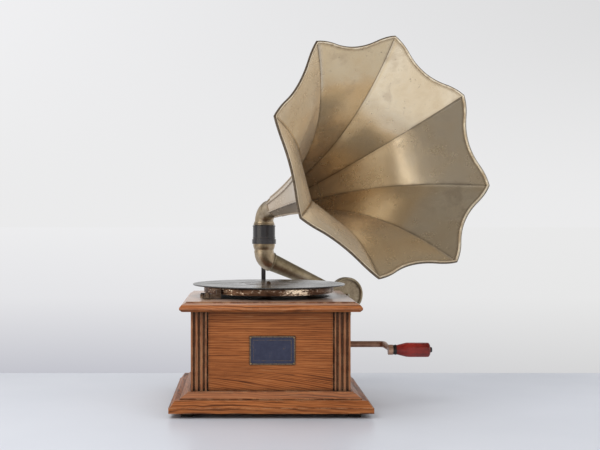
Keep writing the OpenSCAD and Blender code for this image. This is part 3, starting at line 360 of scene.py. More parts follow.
def horn_metal(name, outside):
    """The horn's sheet: satin nickel worn towards brass, browner in the throat, soiled along its seams and
    darker just inside the rim.
    """
    g = Graph(name)
    p = g.place()
    s = g.attribute("along")
    metal = g.math("SUBTRACT", g.span(s, 0.08, 0.5, 0.6, 0.88), g.math("MULTIPLY", g.attribute("dull"), 0.4))
    seam = g.attribute("from_seam")
    cloud = g.noise(g.mapped(p, (6, 6, 6), (2, 3, 1)), 1.0, 5.0, 0.6, 0.6)
    patch = g.noise(g.mapped(p, (26, 26, 26)), 1.0, 3.0, 0.6, 0.3)
    streak = g.noise(g.mapped(p, (90, 90, 90), (6, 1, 3)), 1.0, 4.0, 0.7)
    grain = g.noise(g.mapped(p, (420, 420, 420)), 1.0, 3.0, 0.6)
    tone = g.math("ADD", g.math("MULTIPLY", cloud, 0.6), g.math("MULTIPLY", patch, 0.4))
    if outside:
        tones = ((0.32, (0.45, 0.39, 0.31)), (0.5, (0.56, 0.5, 0.42)), (0.68, (0.65, 0.59, 0.51)))
    else:
        tones = ((0.36, (0.67, 0.54, 0.37)), (0.5, (0.75, 0.63, 0.46)), (0.64, (0.81, 0.72, 0.57)))
    colour = g.ramp(tone, *tones)
    brassy = g.math("MULTIPLY", g.attribute("brassy"), g.span(s, 0.68, 0.92, 0.15, 1.0))
    colour = g.mix(brassy, colour, g.mix(1.0, colour, (1.0, 0.9, 0.72), "MULTIPLY"))
    throat = g.span(s, 0.66, 0.14)
    colour = g.mix(g.math("MULTIPLY", throat, 0.45), colour, (0.66, 0.5, 0.33))
    tarnish = g.math("MULTIPLY", g.span(patch, 0.5, 0.68), g.span(cloud, 0.4, 0.6))
    colour = g.mix(g.math("MULTIPLY", tarnish, 0.38), colour, (0.42, 0.29, 0.17))
    bloom = g.math("MULTIPLY", g.span(streak, 0.55, 0.7), g.span(patch, 0.55, 0.42))
    colour = g.mix(g.math("MULTIPLY", bloom, 0.16), colour, (0.4, 0.33, 0.25))
    speck = g.span(g.noise(g.mapped(p, (240, 240, 240), (5, 9, 1)), 1.0, 3.0, 0.7), 0.64, 0.71)
    near_rim = g.span(s, 0.72, 0.99, 0.25, 1.0)
    speck = g.math("MULTIPLY", speck, g.math("MULTIPLY", near_rim, g.span(patch, 0.42, 0.56)))
    colour = g.mix(g.math("MULTIPLY", speck, 0.9), colour, (0.085, 0.06, 0.04))
    line = g.span(seam, 0.0012, 0.0003)
    darker_seams_and_rim = g.math("MULTIPLY", g.span(seam, 0.006, 0.0), g.span(patch, 0.3, 0.62))
    # A band just inside the rolled rim is darker as well
    lip = g.span(g.attribute("from_rim"), 0.0055, 0.0028)
    darker_seams_and_rim = g.math("MAXIMUM", darker_seams_and_rim, g.math("MULTIPLY", lip, g.span(streak, 0.3, 0.55, 0.5, 1.0)))
    colour = g.mix(g.math("MULTIPLY", darker_seams_and_rim, 0.45), colour, (0.22, 0.15, 0.085))
    colour = g.mix(g.math("MULTIPLY", line, 0.8), colour, (0.09, 0.062, 0.04))
    rough = g.span(tone, 0.34, 0.66, 0.28, 0.18)
    rough = g.math("ADD", rough, g.math("MULTIPLY", tarnish, 0.08))
    rough = g.math("ADD", rough, g.math("MULTIPLY", bloom, 0.08))
    rough = g.math("ADD", rough, g.math("MULTIPLY", g.math("SUBTRACT", grain, 0.5), 0.05), clamp=True)
    height = g.math("ADD", g.math("MULTIPLY", grain, 0.05), g.math("MULTIPLY", speck, -0.15))
    normal = g.bump(height, 0.0001, 0.5)
    wave = g.noise(g.mapped(p, (15, 15, 15), (4, 4, 4)), 1.0, 1.5)
    normal = g.bump(wave, 0.0026, 0.5, normal)
    return g.finish(colour, rough, normal, metal)


def horn_bead(name):
    """The rolled rim: painted bright inside and in front as a highlight, and brown on the outer half as
    painted shade.
    """
    g = Graph(name, Metallic=0.6)
    p = g.place()
    patch = g.noise(g.mapped(p, (45, 45, 45)), 1.0, 5.0, 0.65)
    grain = g.noise(g.mapped(p, (500, 500, 500)), 1.0, 3.0, 0.65)
    # Painted highlight: the bright colour of the bead's inner side and front
    bright = g.mix(g.span(patch, 0.38, 0.62), (0.6, 0.48, 0.33), (0.92, 0.82, 0.64))
    dull = g.mix(g.span(grain, 0.4, 0.62), (0.08, 0.06, 0.042), (0.2, 0.15, 0.1))
    side = g.math("ADD", g.attribute("outward"), g.math("MULTIPLY", g.math("SUBTRACT", patch, 0.5), 0.9))
    # Painted shade: the bead's outer half is painted dark brown
    shaded_side = g.span(side, -0.35, 0.1)
    colour = g.mix(shaded_side, bright, dull)
    speck = g.span(grain, 0.66, 0.74)
    colour = g.mix(g.math("MULTIPLY", speck, 0.8), colour, (0.07, 0.05, 0.035))
    rough = g.blend(shaded_side, 0.24, 0.5)
    rough = g.math("ADD", rough, g.math("MULTIPLY", grain, 0.1), clamp=True)
    return g.finish(colour, rough, g.bump(g.math("SUBTRACT", grain, speck), 0.00012, 0.5))


def shellac(name):
    """Black record with a groove band, a plain run-out and a dark label."""
    pitch, label_r, first_r, last_r, fade = 0.00055, 0.04, 0.122, 0.052, 0.001
    g = Graph(name, Anisotropic=0.4, Specular_IOR_Level=0.75)
    p = g.vec("SUBTRACT", g.place(), tuple(SPINDLE))
    x, y, z = g.split(p)
    r = g.vec("LENGTH", g.join(x, y, 0.0))
    groove = g.math("SINE", g.math("MULTIPLY", r, 2 * math.pi / pitch))
    band = g.math("MULTIPLY", g.span(r, last_r, last_r + fade), g.span(r, first_r, first_r - fade))
    track = g.noise(g.join(g.math("MULTIPLY", r, 900.0), 0.0, 0.0), 1.0, 2.0)
    label = g.span(r, label_r + fade / 2, label_r)
    scuff = g.noise(g.mapped(p, (30, 30, 30)), 1.0, 5.0, 0.65)
    colour = g.mix(g.span(scuff, 0.4, 0.75, 0.0, 0.7), (0.02, 0.019, 0.018), (0.06, 0.054, 0.048))
    paper = g.noise(g.mapped(p, (700, 700, 700)), 1.0, 3.0, 0.6)
    colour = g.mix(label, colour, g.mix(paper, (0.03, 0.02, 0.017), (0.06, 0.045, 0.04)))
    rough = g.span(scuff, 0.3, 0.75, 0.12, 0.22)
    rough = g.math("ADD", rough, g.math("MULTIPLY", g.math("MULTIPLY", track, band), 0.06), clamp=True)
    rough = g.blend(label, rough, 0.2)
    height = g.math("ADD", g.math("MULTIPLY", groove, band), g.math("MULTIPLY", scuff, 0.6))
    around = g.add("ShaderNodeTangent", direction_type="RADIAL", axis="Z").outputs[0]
    g.put(g.bsdf.inputs["Tangent"], around)
    return g.finish(colour, rough, g.bump(height, 0.000008, 0.4, g.soft_edge(0.0003)))


def copper_rim(name):
    """Turntable rim: brown oxide with coppery patches and bare bright flakes, crowded into a painted
    highlight on a stretch right of the front.
    """
    highlight_at, highlight_half, pale_from, pale_full = 0.43, 0.34, 0.9, 1.25
    g = Graph(name, Metallic=1.0)
    p = g.place()
    cloud = g.noise(g.mapped(p, (22, 22, 60)), 1.0, 5.0, 0.65)
    flake = g.noise(g.mapped(p, (190, 190, 420), (3, 3, 3)), 1.0, 4.0, 0.7)
    browns = ((0.32, (0.05, 0.028, 0.018)), (0.52, (0.16, 0.085, 0.052)), (0.7, (0.36, 0.22, 0.14)))
    colour = g.ramp(cloud, *browns)
    x, y, z = g.split(g.vec("SUBTRACT", p, tuple(SPINDLE)))
    around = g.math("ARCTAN2", x, g.math("MULTIPLY", y, -1.0))
    # Painted highlight: a stretch right of the front is crowded with bright flakes
    rubbed = g.span(g.math("ABSOLUTE", g.math("SUBTRACT", around, highlight_at)), highlight_half, 0.05)
    cover = g.math("SUBTRACT", 0.54, g.math("MULTIPLY", rubbed, 0.14))
    bright = g.span(g.math("SUBTRACT", flake, cover), 0.0, 0.07)
    bright = g.math("MULTIPLY", bright, g.math("MAXIMUM", rubbed, g.span(cloud, 0.45, 0.6)))
    colour = g.mix(bright, colour, (0.98, 0.8, 0.61))
    pale_end = g.math("MULTIPLY", g.span(around, pale_from, pale_full), g.span(cloud, 0.34, 0.56))
    colour = g.mix(g.math("MULTIPLY", pale_end, 0.6), colour, (0.66, 0.57, 0.49))
    rust = g.span(g.noise(g.mapped(p, (90, 90, 140), (8, 1, 1)), 1.0, 4.0, 0.7), 0.55, 0.68)
    colour = g.mix(g.math("MULTIPLY", rust, 0.6), colour, (0.07, 0.04, 0.025))
    rough = g.blend(bright, 0.5, 0.24)
    rough = g.math("ADD", rough, g.math("MULTIPLY", rust, 0.25), clamp=True)
    height = g.math("ADD", bright, g.math("MULTIPLY", rust, -0.7))
    return g.finish(colour, rough, g.bump(height, 0.0002, 0.7, g.soft_edge(0.0005)))


def felt(name, light, dark):
    """Woollen cloth, fuzzy and worn in places."""
    g = Graph(name, Roughness=0.95, Sheen_Weight=0.6, Sheen_Roughness=0.5)
    p = g.place()
    fuzz = g.noise(g.mapped(p, (1400, 1400, 1400)), 1.0, 4.0, 0.7)
    worn = g.noise(g.mapped(p, (25, 25, 25)), 1.0, 4.0, 0.6)
    colour = g.mix(fuzz, dark, light)
    colour = g.mix(g.span(worn, 0.45, 0.7, 0.0, 0.4), colour, light)
    return g.finish(colour, None, g.bump(fuzz, 0.0004, 0.8))


def enamel_plate(name):
    """Blue enamel plate with a thin line inside its bare metal border, rubbed and speckled."""
    g = Graph(name, Coat_Weight=0.2, Coat_Roughness=0.25)
    lo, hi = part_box("nameplate")
    mid = (lo + hi) / 2
    p = g.vec("SUBTRACT", g.place(), tuple(mid))
    x, y, z = g.split(p)
    ax = g.math("SUBTRACT", (hi.x - lo.x) / 2, g.math("ABSOLUTE", x))
    az = g.math("SUBTRACT", (hi.z - lo.z) / 2, g.math("ABSOLUTE", z))
    inset = g.math("MINIMUM", ax, az)
    rubbed = g.noise(g.mapped(p, (90, 90, 90)), 1.0, 5.0, 0.7)
    speck = g.noise(g.mapped(p, (520, 520, 520), (2, 2, 2)), 1.0, 3.0, 0.7)
    blue = g.mix(g.span(rubbed, 0.35, 0.7), (0.011, 0.015, 0.046), (0.026, 0.031, 0.068))
    metal = g.mix(g.span(speck, 0.4, 0.65), (0.24, 0.17, 0.09), (0.1, 0.075, 0.05))
    border = g.span(g.math("ADD", inset, g.math("MULTIPLY", rubbed, 0.0012)), 0.0028, 0.0022)
    line = g.math("MULTIPLY", g.span(inset, 0.0056, 0.0059), g.span(inset, 0.0066, 0.0063))
    line = g.math("MULTIPLY", line, g.span(rubbed, 0.66, 0.4))
    bare = g.math("MULTIPLY", g.span(rubbed, 0.6, 0.68), g.span(speck, 0.46, 0.6))
    mask = g.math("MAXIMUM", g.math("MULTIPLY", line, 0.7), bare)
    mask = g.math("MAXIMUM", g.math("MULTIPLY", border, 0.75), mask)
    colour = g.mix(mask, blue, metal)
    rough = g.span(rubbed, 0.3, 0.7, 0.38, 0.58)
    height = g.math("SUBTRACT", 0.0, g.math("ADD", bare, g.math("MULTIPLY", speck, 0.3)))
    normal = g.bump(height, 0.0001, 0.6, g.soft_edge(0.0003))
    return g.finish(colour, rough, normal, g.math("MULTIPLY", mask, 0.7))


def rubber(name, colour):
    """Rubber or leather, dull and dusty."""
    g = Graph(name)
    p = g.place()
    dust = g.noise(g.mapped(p, (160, 160, 160)), 1.0, 4.0, 0.65)
    light = tuple(c * 2.2 + 0.02 for c in colour)
    shade = g.mix(g.span(dust, 0.4, 0.75), colour, light)
    return g.finish(shade, g.span(dust, 0.3, 0.7, 0.7, 0.9), g.bump(dust, 0.0002, 0.5))


def clouded_mica(name):
    """The diaphragm, gone cloudy and brown."""
    g = Graph(name, Specular_IOR_Level=0.4)
    p = g.vec("SUBTRACT", g.place(), tuple((SOUND[0] + SOUND[1]) / 2))
    cloud = g.noise(g.mapped(p, (70, 70, 70)), 1.0, 5.0, 0.65, 0.6)
    fine = g.noise(g.mapped(p, (380, 380, 380)), 1.0, 4.0, 0.65)
    tone = g.math("ADD", g.math("MULTIPLY", cloud, 0.6), g.math("MULTIPLY", fine, 0.4))
    browns = ((0.3, (0.155, 0.115, 0.068)), (0.5, (0.33, 0.26, 0.17)), (0.68, (0.46, 0.385, 0.27)))
    colour = g.ramp(tone, *browns)
    return g.finish(colour, g.span(tone, 0.3, 0.7, 0.55, 0.36), g.bump(fine, 0.00015, 0.5), 0.35)


# Materials on the CAD pieces

CASE_MID = (SPINDLE.x, SPINDLE.y)
OAK_FRONT = oak("oak_front", "x", seed=0.31, tint=1.0, period=0.0034, slant=0.006,
                bend=(0.088, 0.05, 0.17), wave=0.6, ink=0.6)
OAK_BACK = oak("oak_back", "x", seed=1.7, tint=0.95, period=0.0036, slant=-0.02)
OAK_SIDE = oak("oak_side", "y", seed=2.3, tint=0.95, period=0.0036, slant=0.03, bend=(0.09, 0.05, 0.1))
OAK_POST = oak("oak_post", "z", seed=0.9, tint=0.98, period=0.0042, slant=0.01, grey=0.3)
OAK_TOP = oak("oak_top", "x", seed=3.1, tint=1.06, period=0.0042, slant=0.02, wave=1.6, arch=7.0, ink=0.75,
              corner=CASE_MID, dust_and_sheen=(0.75, 1.0, 0.6, 0.1), shaded=0.104, gloss=0.55)
OAK_PLINTH = oak("oak_plinth", "frame", seed=4.2, tint=0.92, period=0.006, slant=0.03, wave=2.4, arch=8.0,
                 ink=0.92, corner=CASE_MID, dust_and_sheen=(0.3, 0.75, 0.1, 0.024))
PINE = oak("pine_bottom", "x", seed=6.0, tint=0.85, period=0.006, slant=0.03)
EBONY = lacquer("black_stain", (0.012, 0.009, 0.007), (0.006, 0.005, 0.004), (0.07, 0.04, 0.02),
                rough=0.5, grain=(20, 300, 300))
BLACK = lacquer("black_lacquer", (0.05, 0.047, 0.051), (0.026, 0.024, 0.026), (0.16, 0.11, 0.07), rough=0.2)
BLACK_SMALL = lacquer("black_lacquer_small", (0.014, 0.013, 0.013), (0.007, 0.006, 0.006), (0.14, 0.1, 0.07),
                      rough=0.26, bevel=0.0003)
RED = lacquer("red_lacquer", (0.3, 0.02, 0.012), (0.12, 0.006, 0.004), (0.34, 0.09, 0.045),
              rough=0.26, grain=(16, 420, 420), bevel=0.0006, wear=0.7)
BRASS = aged_metal("aged_brass", ((0.2, 0.14, 0.07), (0.42, 0.31, 0.17), (0.6, 0.47, 0.28)), spots=0.6)
GEAR = aged_metal("gear_brass", ((0.4, 0.29, 0.12), (0.6, 0.46, 0.22), (0.72, 0.57, 0.3)),
                  rough=(0.22, 0.38), spots=0.35, scale=1.6, bevel=0.0002)
STEEL = aged_metal("arbor_steel", ((0.3, 0.28, 0.26), (0.48, 0.46, 0.43), (0.62, 0.6, 0.57)),
                   rough=(0.24, 0.4), spots=0.4, scale=1.8, bevel=0.0002, worn=(0.7, 0.68, 0.64))
SPRING = aged_metal("spring_steel", ((0.1, 0.11, 0.15), (0.2, 0.22, 0.28), (0.34, 0.36, 0.42)),
                    rough=(0.2, 0.36), spots=0.3, scale=1.5, bevel=0.0002, worn=(0.5, 0.5, 0.52))
IRON = aged_metal("motor_iron", ((0.1, 0.1, 0.1), (0.18, 0.175, 0.17), (0.26, 0.25, 0.24)),
                  rough=(0.45, 0.65), spots=0.4, worn=(0.4, 0.38, 0.36))
ROD = aged_metal("crank_steel", ((0.18, 0.09, 0.055), (0.42, 0.24, 0.165), (0.58, 0.38, 0.27)),
                 rough=(0.34, 0.52), spots=0.6, scale=1.4, metal=0.75, worn=(0.45, 0.34, 0.27))
NICKEL = aged_metal("dull_nickel", ((0.3, 0.27, 0.22), (0.5, 0.46, 0.4), (0.66, 0.62, 0.55)),
                    rough=(0.26, 0.44), spots=0.7, scale=1.8, bevel=0.0002)
BROWNED = aged_metal("browned_steel", ((0.05, 0.035, 0.025), (0.12, 0.08, 0.055), (0.24, 0.17, 0.12)),
                     rough=(0.4, 0.6), spots=0.7, scale=1.8, bevel=0.0002, worn=(0.4, 0.3, 0.2))
ARM = aged_metal("arm_nickel", ((0.14, 0.102, 0.058), (0.305, 0.245, 0.152), (0.43, 0.36, 0.25)),
                 rough=(0.34, 0.54), spots=0.8, spot_colour=(0.05, 0.036, 0.024), scale=1.5, dents=0.0007)
ELBOW = aged_metal("elbow_nickel", ((0.23, 0.165, 0.1), (0.46, 0.365, 0.245), (0.63, 0.52, 0.385)),
                   rough=(0.3, 0.46), spots=0.7, spot_colour=(0.06, 0.04, 0.025), scale=1.3, dents=0.0006)
BOX = aged_metal("soundbox_nickel", ((0.18, 0.14, 0.09), (0.37, 0.3, 0.2), (0.5, 0.42, 0.3)),
                 rough=(0.42, 0.6), spots=0.8, spot_colour=(0.05, 0.04, 0.028), scale=2.2)
BRAKE = aged_metal("brake_nickel", ((0.06, 0.04, 0.028), (0.2, 0.14, 0.1), (0.48, 0.4, 0.31)),
                   rough=(0.36, 0.58), spots=0.9, scale=2.6, bevel=0.0002, worn=(0.5, 0.4, 0.29))
LEATHER = rubber("leather", (0.05, 0.028, 0.016))
RUBBER = rubber("gasket_rubber", (0.05, 0.042, 0.032))

LOOKS = {
    EBONY: ["feet"],
    OAK_PLINTH: ["plinth_mouldings"],
    PINE: ["bottom_board"],
    OAK_POST: ["corner_posts"],
    OAK_FRONT: ["front_panel"],
    OAK_BACK: ["back_panel"],
    OAK_SIDE: ["left_panel", "right_panel"],
    OAK_TOP: ["top_board"],
    enamel_plate("blue_plate"): ["nameplate"],
    BRASS: ["nameplate_pins", "crank_bush", "thrust_washer"],
    ROD: ["crank_rod"],
    BLACK_SMALL: ["crank_ferrule", "crank_pin", "bracket_screws", "speed_knob"],
    BLACK: ["bracket"],
    RED: ["crank_grip"],
    IRON: ["motor_plate", "motor_base", "motor_pillars", "speed_lever"],
    GEAR: ["winding_pinion", "barrel", "barrel_lid", "winding_wheel", "intermediate_wheel", "spindle_wheel",
           "governor_weights", "governor_disc"],
    STEEL: ["motor_bolts", "barrel_arbor", "intermediate_arbor", "governor_shaft", "needle"],
    SPRING: ["mainspring", "governor_springs"],
    copper_rim("copper_rim"): ["turntable"],
    felt("felt", (0.05, 0.09, 0.055), (0.016, 0.032, 0.02)): ["turntable_felt"],
    shellac("shellac"): ["record"],
    NICKEL: ["stylus_bar"],
    BROWNED: ["spindle", "needle_screw"],
    BRAKE: ["brake_plate", "brake_screws", "brake_lever"],
    LEATHER: ["brake_pad", "packing_washer"],
    ELBOW: ["horn_elbow", "tonearm_elbow"],
    ARM: ["tonearm_tube"],
    BOX: ["soundbox_shell", "soundbox_ring"],
    RUBBER: ["soundbox_gaskets"],
    clouded_mica("mica"): ["diaphragm"],
}
for look, names in LOOKS.items():
    for n in names:
        nodes[n].data.materials.clear()
        nodes[n].data.materials.append(look)


# The horn's sheet, seams and rim

def turn_z(v, a):
    """Points turned about z by an angle."""
    x, y, z = v[..., 0], v[..., 1], v[..., 2]
    return np.stack([x * math.cos(a) - y * math.sin(a), x * math.sin(a) + y * math.cos(a), z], -1)


def turn_x(v, a):
    """Points turned about x by an angle."""
    x, y, z = v[..., 0], v[..., 1], v[..., 2]
    return np.stack([x, y * math.cos(a) - z * math.sin(a), y * math.sin(a) + z * math.cos(a)], -1)


def horn_to_row(v):
    """From the horn's own axes (z from neck to mouth) to the row frame."""
    tilt = math.pi / 2 - HORN_EL
    v = np.asarray(v, float) + (0, 0, NECK_S)
    v = turn_x(v, tilt) + (0, -ELBOW_RHO * (1 - math.cos(tilt)), ELBOW_Z + ELBOW_RHO * math.sin(tilt))
    return turn_z(v, HORN_AZ) + (COLLAR.x, COLLAR.y, 0)


def horn_r(s):
    """The horn's radius over its corners, s along from the neck."""
    return NECK_R + (HORN_R - NECK_R) * (np.exp(FLARE * s / HORN_L) - 1) / (math.exp(FLARE) - 1)


def rim_s(u):
    """Where the sheet ends at share u of the half panel, -1 to 1: a hollow arc, rounded over to the seams."""
    half_w = HORN_R * math.sin(HALF)
    rad = (half_w ** 2 + SCALLOP ** 2) / (2 * SCALLOP)
    swell = rad * RIM_ROUND
    dip = rad - swell
    s = np.full(np.shape(u), HORN_L)
    for _ in range(12):
        t = np.abs(u * horn_r(s) * math.sin(HALF))
        low = HORN_L - SCALLOP + dip - np.sqrt(dip ** 2 - t ** 2)
        high = HORN_L - swell + np.sqrt(swell ** 2 - (half_w - t) ** 2)
        s = np.where(t < half_w * dip / rad, low, high)
    return s


def panel_point(u, s, inward):
    """A point on a panel that faces +x: u across, s along, inward from the outer face."""
    r = horn_r(s)
    flat = r * math.cos(HALF)
    return np.stack([flat - inward, u * (flat - inward) * math.tan(HALF), s], -1)


def mesh_piece(name, verts, faces, material, body, replaced, sharp=None, values=None):
    """A smooth mesh that rides on a body, with named values at its points for its material."""
    mesh = bpy.data.meshes.new(name)
    mesh.from_pydata([tuple(v) for v in verts], [], faces)
    mesh.polygons.foreach_set("use_smooth", [True] * len(mesh.polygons))
    for key, data in (values or {}).items():
        mesh.attributes.new(key, "FLOAT", "POINT").data.foreach_set("value", np.asarray(data, np.float32))
    for m in material if isinstance(material, list) else [material]:
        mesh.materials.append(m)
    if sharp is not None:
        mesh.set_sharp_from_angle(angle=sharp)
    mesh.update()
    o = bpy.data.objects.new(name, mesh)
    bpy.context.scene.collection.objects.link(o)
    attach(o, body)
    if replaced:
        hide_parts(*replaced)
    return o


# How far each panel's plating is worn to brass and how far it has gone dull,
# from the upper right one on round the mouth
BRASSY = (0.0, 0.9, 0.1, 0.1, 0.0, 0.6, 0.35, 0.1)
DULL = (0.0, 0.1, 0.6, 0.8, 0.6, 0.0, -0.15, 0.0)


def make_horn_sheet():
    """The eight panels as one sheet with an outer and an inner face."""
    across, along = 14, 72
    cols = PANELS * across
    u = np.linspace(-1, 1, across + 1)[:-1]
    end = rim_s(u)
    verts = []
    values = {"along": [], "from_seam": [], "from_rim": [], "brassy": [], "dull": []}
    for inward in (0.0, SHEET):
        for j in range(along + 1):
            s = (end - BEAD_BACK) * (j / along) ** CROWD
            for k in range(PANELS):
                verts += list(turn_z(panel_point(u, s, inward), HORN_ROLL + HALF + k * STEP))
                values["along"] += list(s / HORN_L)
                values["from_seam"] += list((1 - np.abs(u)) * horn_r(s) * math.sin(HALF))
                values["from_rim"] += list(end - s)
                values["brassy"] += [BRASSY[k]] * across
                values["dull"] += [DULL[k]] * across
    outer, inner = np.arange(len(verts)).reshape(2, along + 1, cols)
    faces, mats = [], []
    for j in range(along):
        for c in range(cols):
            d = (c + 1) % cols
            faces.append((outer[j, c], outer[j, d], outer[j + 1, d], outer[j + 1, c]))
            faces.append((inner[j, c], inner[j + 1, c], inner[j + 1, d], inner[j, d]))
            mats += [0, 1]
    for c in range(cols):
        d = (c + 1) % cols
        faces.append((outer[along, c], outer[along, d], inner[along, d], inner[along, c]))
        faces.append((outer[0, c], inner[0, c], inner[0, d], outer[0, d]))
        mats += [0, 0]
    o = mesh_piece("horn_sheet", horn_to_row(np.array(verts)), faces, [HORN_OUT, HORN_IN], "horn",
                   ["horn_petals"], math.radians(20), values)
    o.data.polygons.foreach_set("material_index", mats)
    return o


def sweep(path, frames, section, closed):
    """A section, as points in a frame's two axes, swept along a path with its open ends capped."""
    n, m = len(path), len(section)
    verts = [at + a * first + b * second for at, (first, second) in zip(path, frames) for a, b in section]
    faces = []
    for i in range(n if closed else n - 1):
        j = (i + 1) % n
        for k in range(m):
            q = (k + 1) % m
            faces.append((i * m + k, i * m + q, j * m + q, j * m + k))
    if not closed:
        faces.append(tuple(range(m - 1, -1, -1)))
        faces.append(tuple((n - 1) * m + k for k in range(m)))
    return verts, faces


def make_seams():
    """The folded seam on the outside of each corner, half round, ending below the rim."""
    half_wide, high, sunk, below_rim, rows = 0.0016, 0.0019, 0.0004, 0.006, 60
    from_seam = 0.004
    verts, faces, s_val = [], [], []
    section = [(half_wide * math.cos(a), high * math.sin(a)) for a in np.linspace(0, math.pi, 9)]
    section += [(-half_wide, -sunk), (half_wide, -sunk)]
    for k in range(PANELS):
        a = HORN_ROLL + k * STEP
        out = np.array([math.cos(a), math.sin(a), 0])
        side = np.array([-math.sin(a), math.cos(a), 0])
        s = (np.linspace(0, 1, rows) ** CROWD) * (HORN_L - below_rim)
        path = [out * horn_r(t) + np.array([0, 0, t]) for t in s]
        v, f = sweep(path, [(side, out)] * len(path), section, False)
        base = len(verts)
        verts += v
        s_val += [t / HORN_L for t in s for _ in section]
        faces += [tuple(base + i for i in face) for face in f]
    n = len(verts)
    values = {"along": s_val, "from_seam": [from_seam] * n, "from_rim": [FAR_FROM_RIM] * n}
    return mesh_piece("horn_seam_folds", horn_to_row(np.array(verts)), faces, HORN_OUT, "horn",
                      ["horn_seams"], math.radians(50), values)


def make_laps():
    """Inside, each panel's edge laps its neighbour: a thin strip along every corner."""
    verts, faces, s_val, w_val = [], [], [], []
    wide, thick, sunk, below_rim = 0.0034, 0.00028, 0.0002, 0.004
    first_row, row_count = 0.06, 64
    off_seam = 0.0006
    under, over = SHEET - sunk, SHEET + thick
    section = ((0.0, under), (0.0, over), (1.0, over), (1.12, under))
    for k in range(PANELS):
        a = HORN_ROLL + HALF + k * STEP
        f = np.linspace(first_row, 1, row_count) ** CROWD
        rows = []
        for t in f:
            row = []
            for share, inward in section:
                s = (HORN_L - below_rim) * t
                for _ in range(3):
                    u = 1 - share * wide / (horn_r(s) * math.sin(HALF))
                    s = (float(rim_s(np.array(u))) - below_rim) * t
                row.append(len(verts))
                verts.append(turn_z(panel_point(np.array(u), np.array(s), inward), a))
                s_val.append(s / HORN_L)
                w_val.append(share * wide + off_seam)
            rows.append(row)
        for i in range(len(rows) - 1):
            for c in range(4):
                d = (c + 1) % 4
                faces.append((rows[i][c], rows[i + 1][c], rows[i + 1][d], rows[i][d]))
        faces.append(tuple(rows[0]))
        faces.append(tuple(reversed(rows[-1])))
    values = {"along": s_val, "from_seam": w_val, "from_rim": [FAR_FROM_RIM] * len(verts)}
    return mesh_piece("horn_laps", horn_to_row(np.array(verts)), faces, HORN_IN, "horn", [],
                      math.radians(30), values)


def make_rim():
    """The sheet rolled over a wire all round the scalloped mouth."""
    path, frames = [], []
    per_panel, round_bead = 26, 16
    for k in range(PANELS):
        a = HORN_ROLL + HALF + k * STEP
        u = np.linspace(-1, 1, per_panel + 1)[:-1]
        s = rim_s(u) - BEAD_BACK
        path += list(turn_z(panel_point(u, s, SHEET / 2), a))
    path = np.array(path)
    n = len(path)
    for i in range(n):
        along = path[(i + 1) % n] - path[i - 1]
        along /= np.linalg.norm(along)
        out = np.array([path[i][0], path[i][1], 0])
        out -= along * (out @ along)
        out /= np.linalg.norm(out)
        frames.append((out, np.cross(along, out)))
    turns = np.linspace(0, 2 * math.pi, round_bead + 1)[:-1]
    section = [(RIM_R * math.cos(a), RIM_R * math.sin(a)) for a in turns]
    v, f = sweep(list(path), frames, section, True)
    return mesh_piece("horn_rolled_rim", horn_to_row(np.array(v)), f, RIM, "horn", ["horn_rim"],
                      None, {"outward": [math.cos(a) for a in turns] * n})


HORN_IN = horn_metal("horn_inside", False)
HORN_OUT = horn_metal("horn_outside", True)
RIM = horn_bead("horn_bead")
make_horn_sheet()
make_seams()
make_laps()
make_rim()


# Floor, background, light and camera

TABLE_BACK = SPINDLE.y + 0.324
CAMERA = (SPINDLE.x - 0.04347, SPINDLE.y - 1.72024, 0.29541)
# The backdrop's tone changes with depth past the table's back edge, by half over this distance
FADE = 2.05
# Glossy rays meet painted light: a glowing card in front of the picture and a round glowing pool on the floor
# before the horn
CARD_FROM, CARD_FULL = -0.42, -0.5
POOL, POOL_EDGE, POOL_FULL = (0.045, -0.36, 0.0), 0.11, 0.03


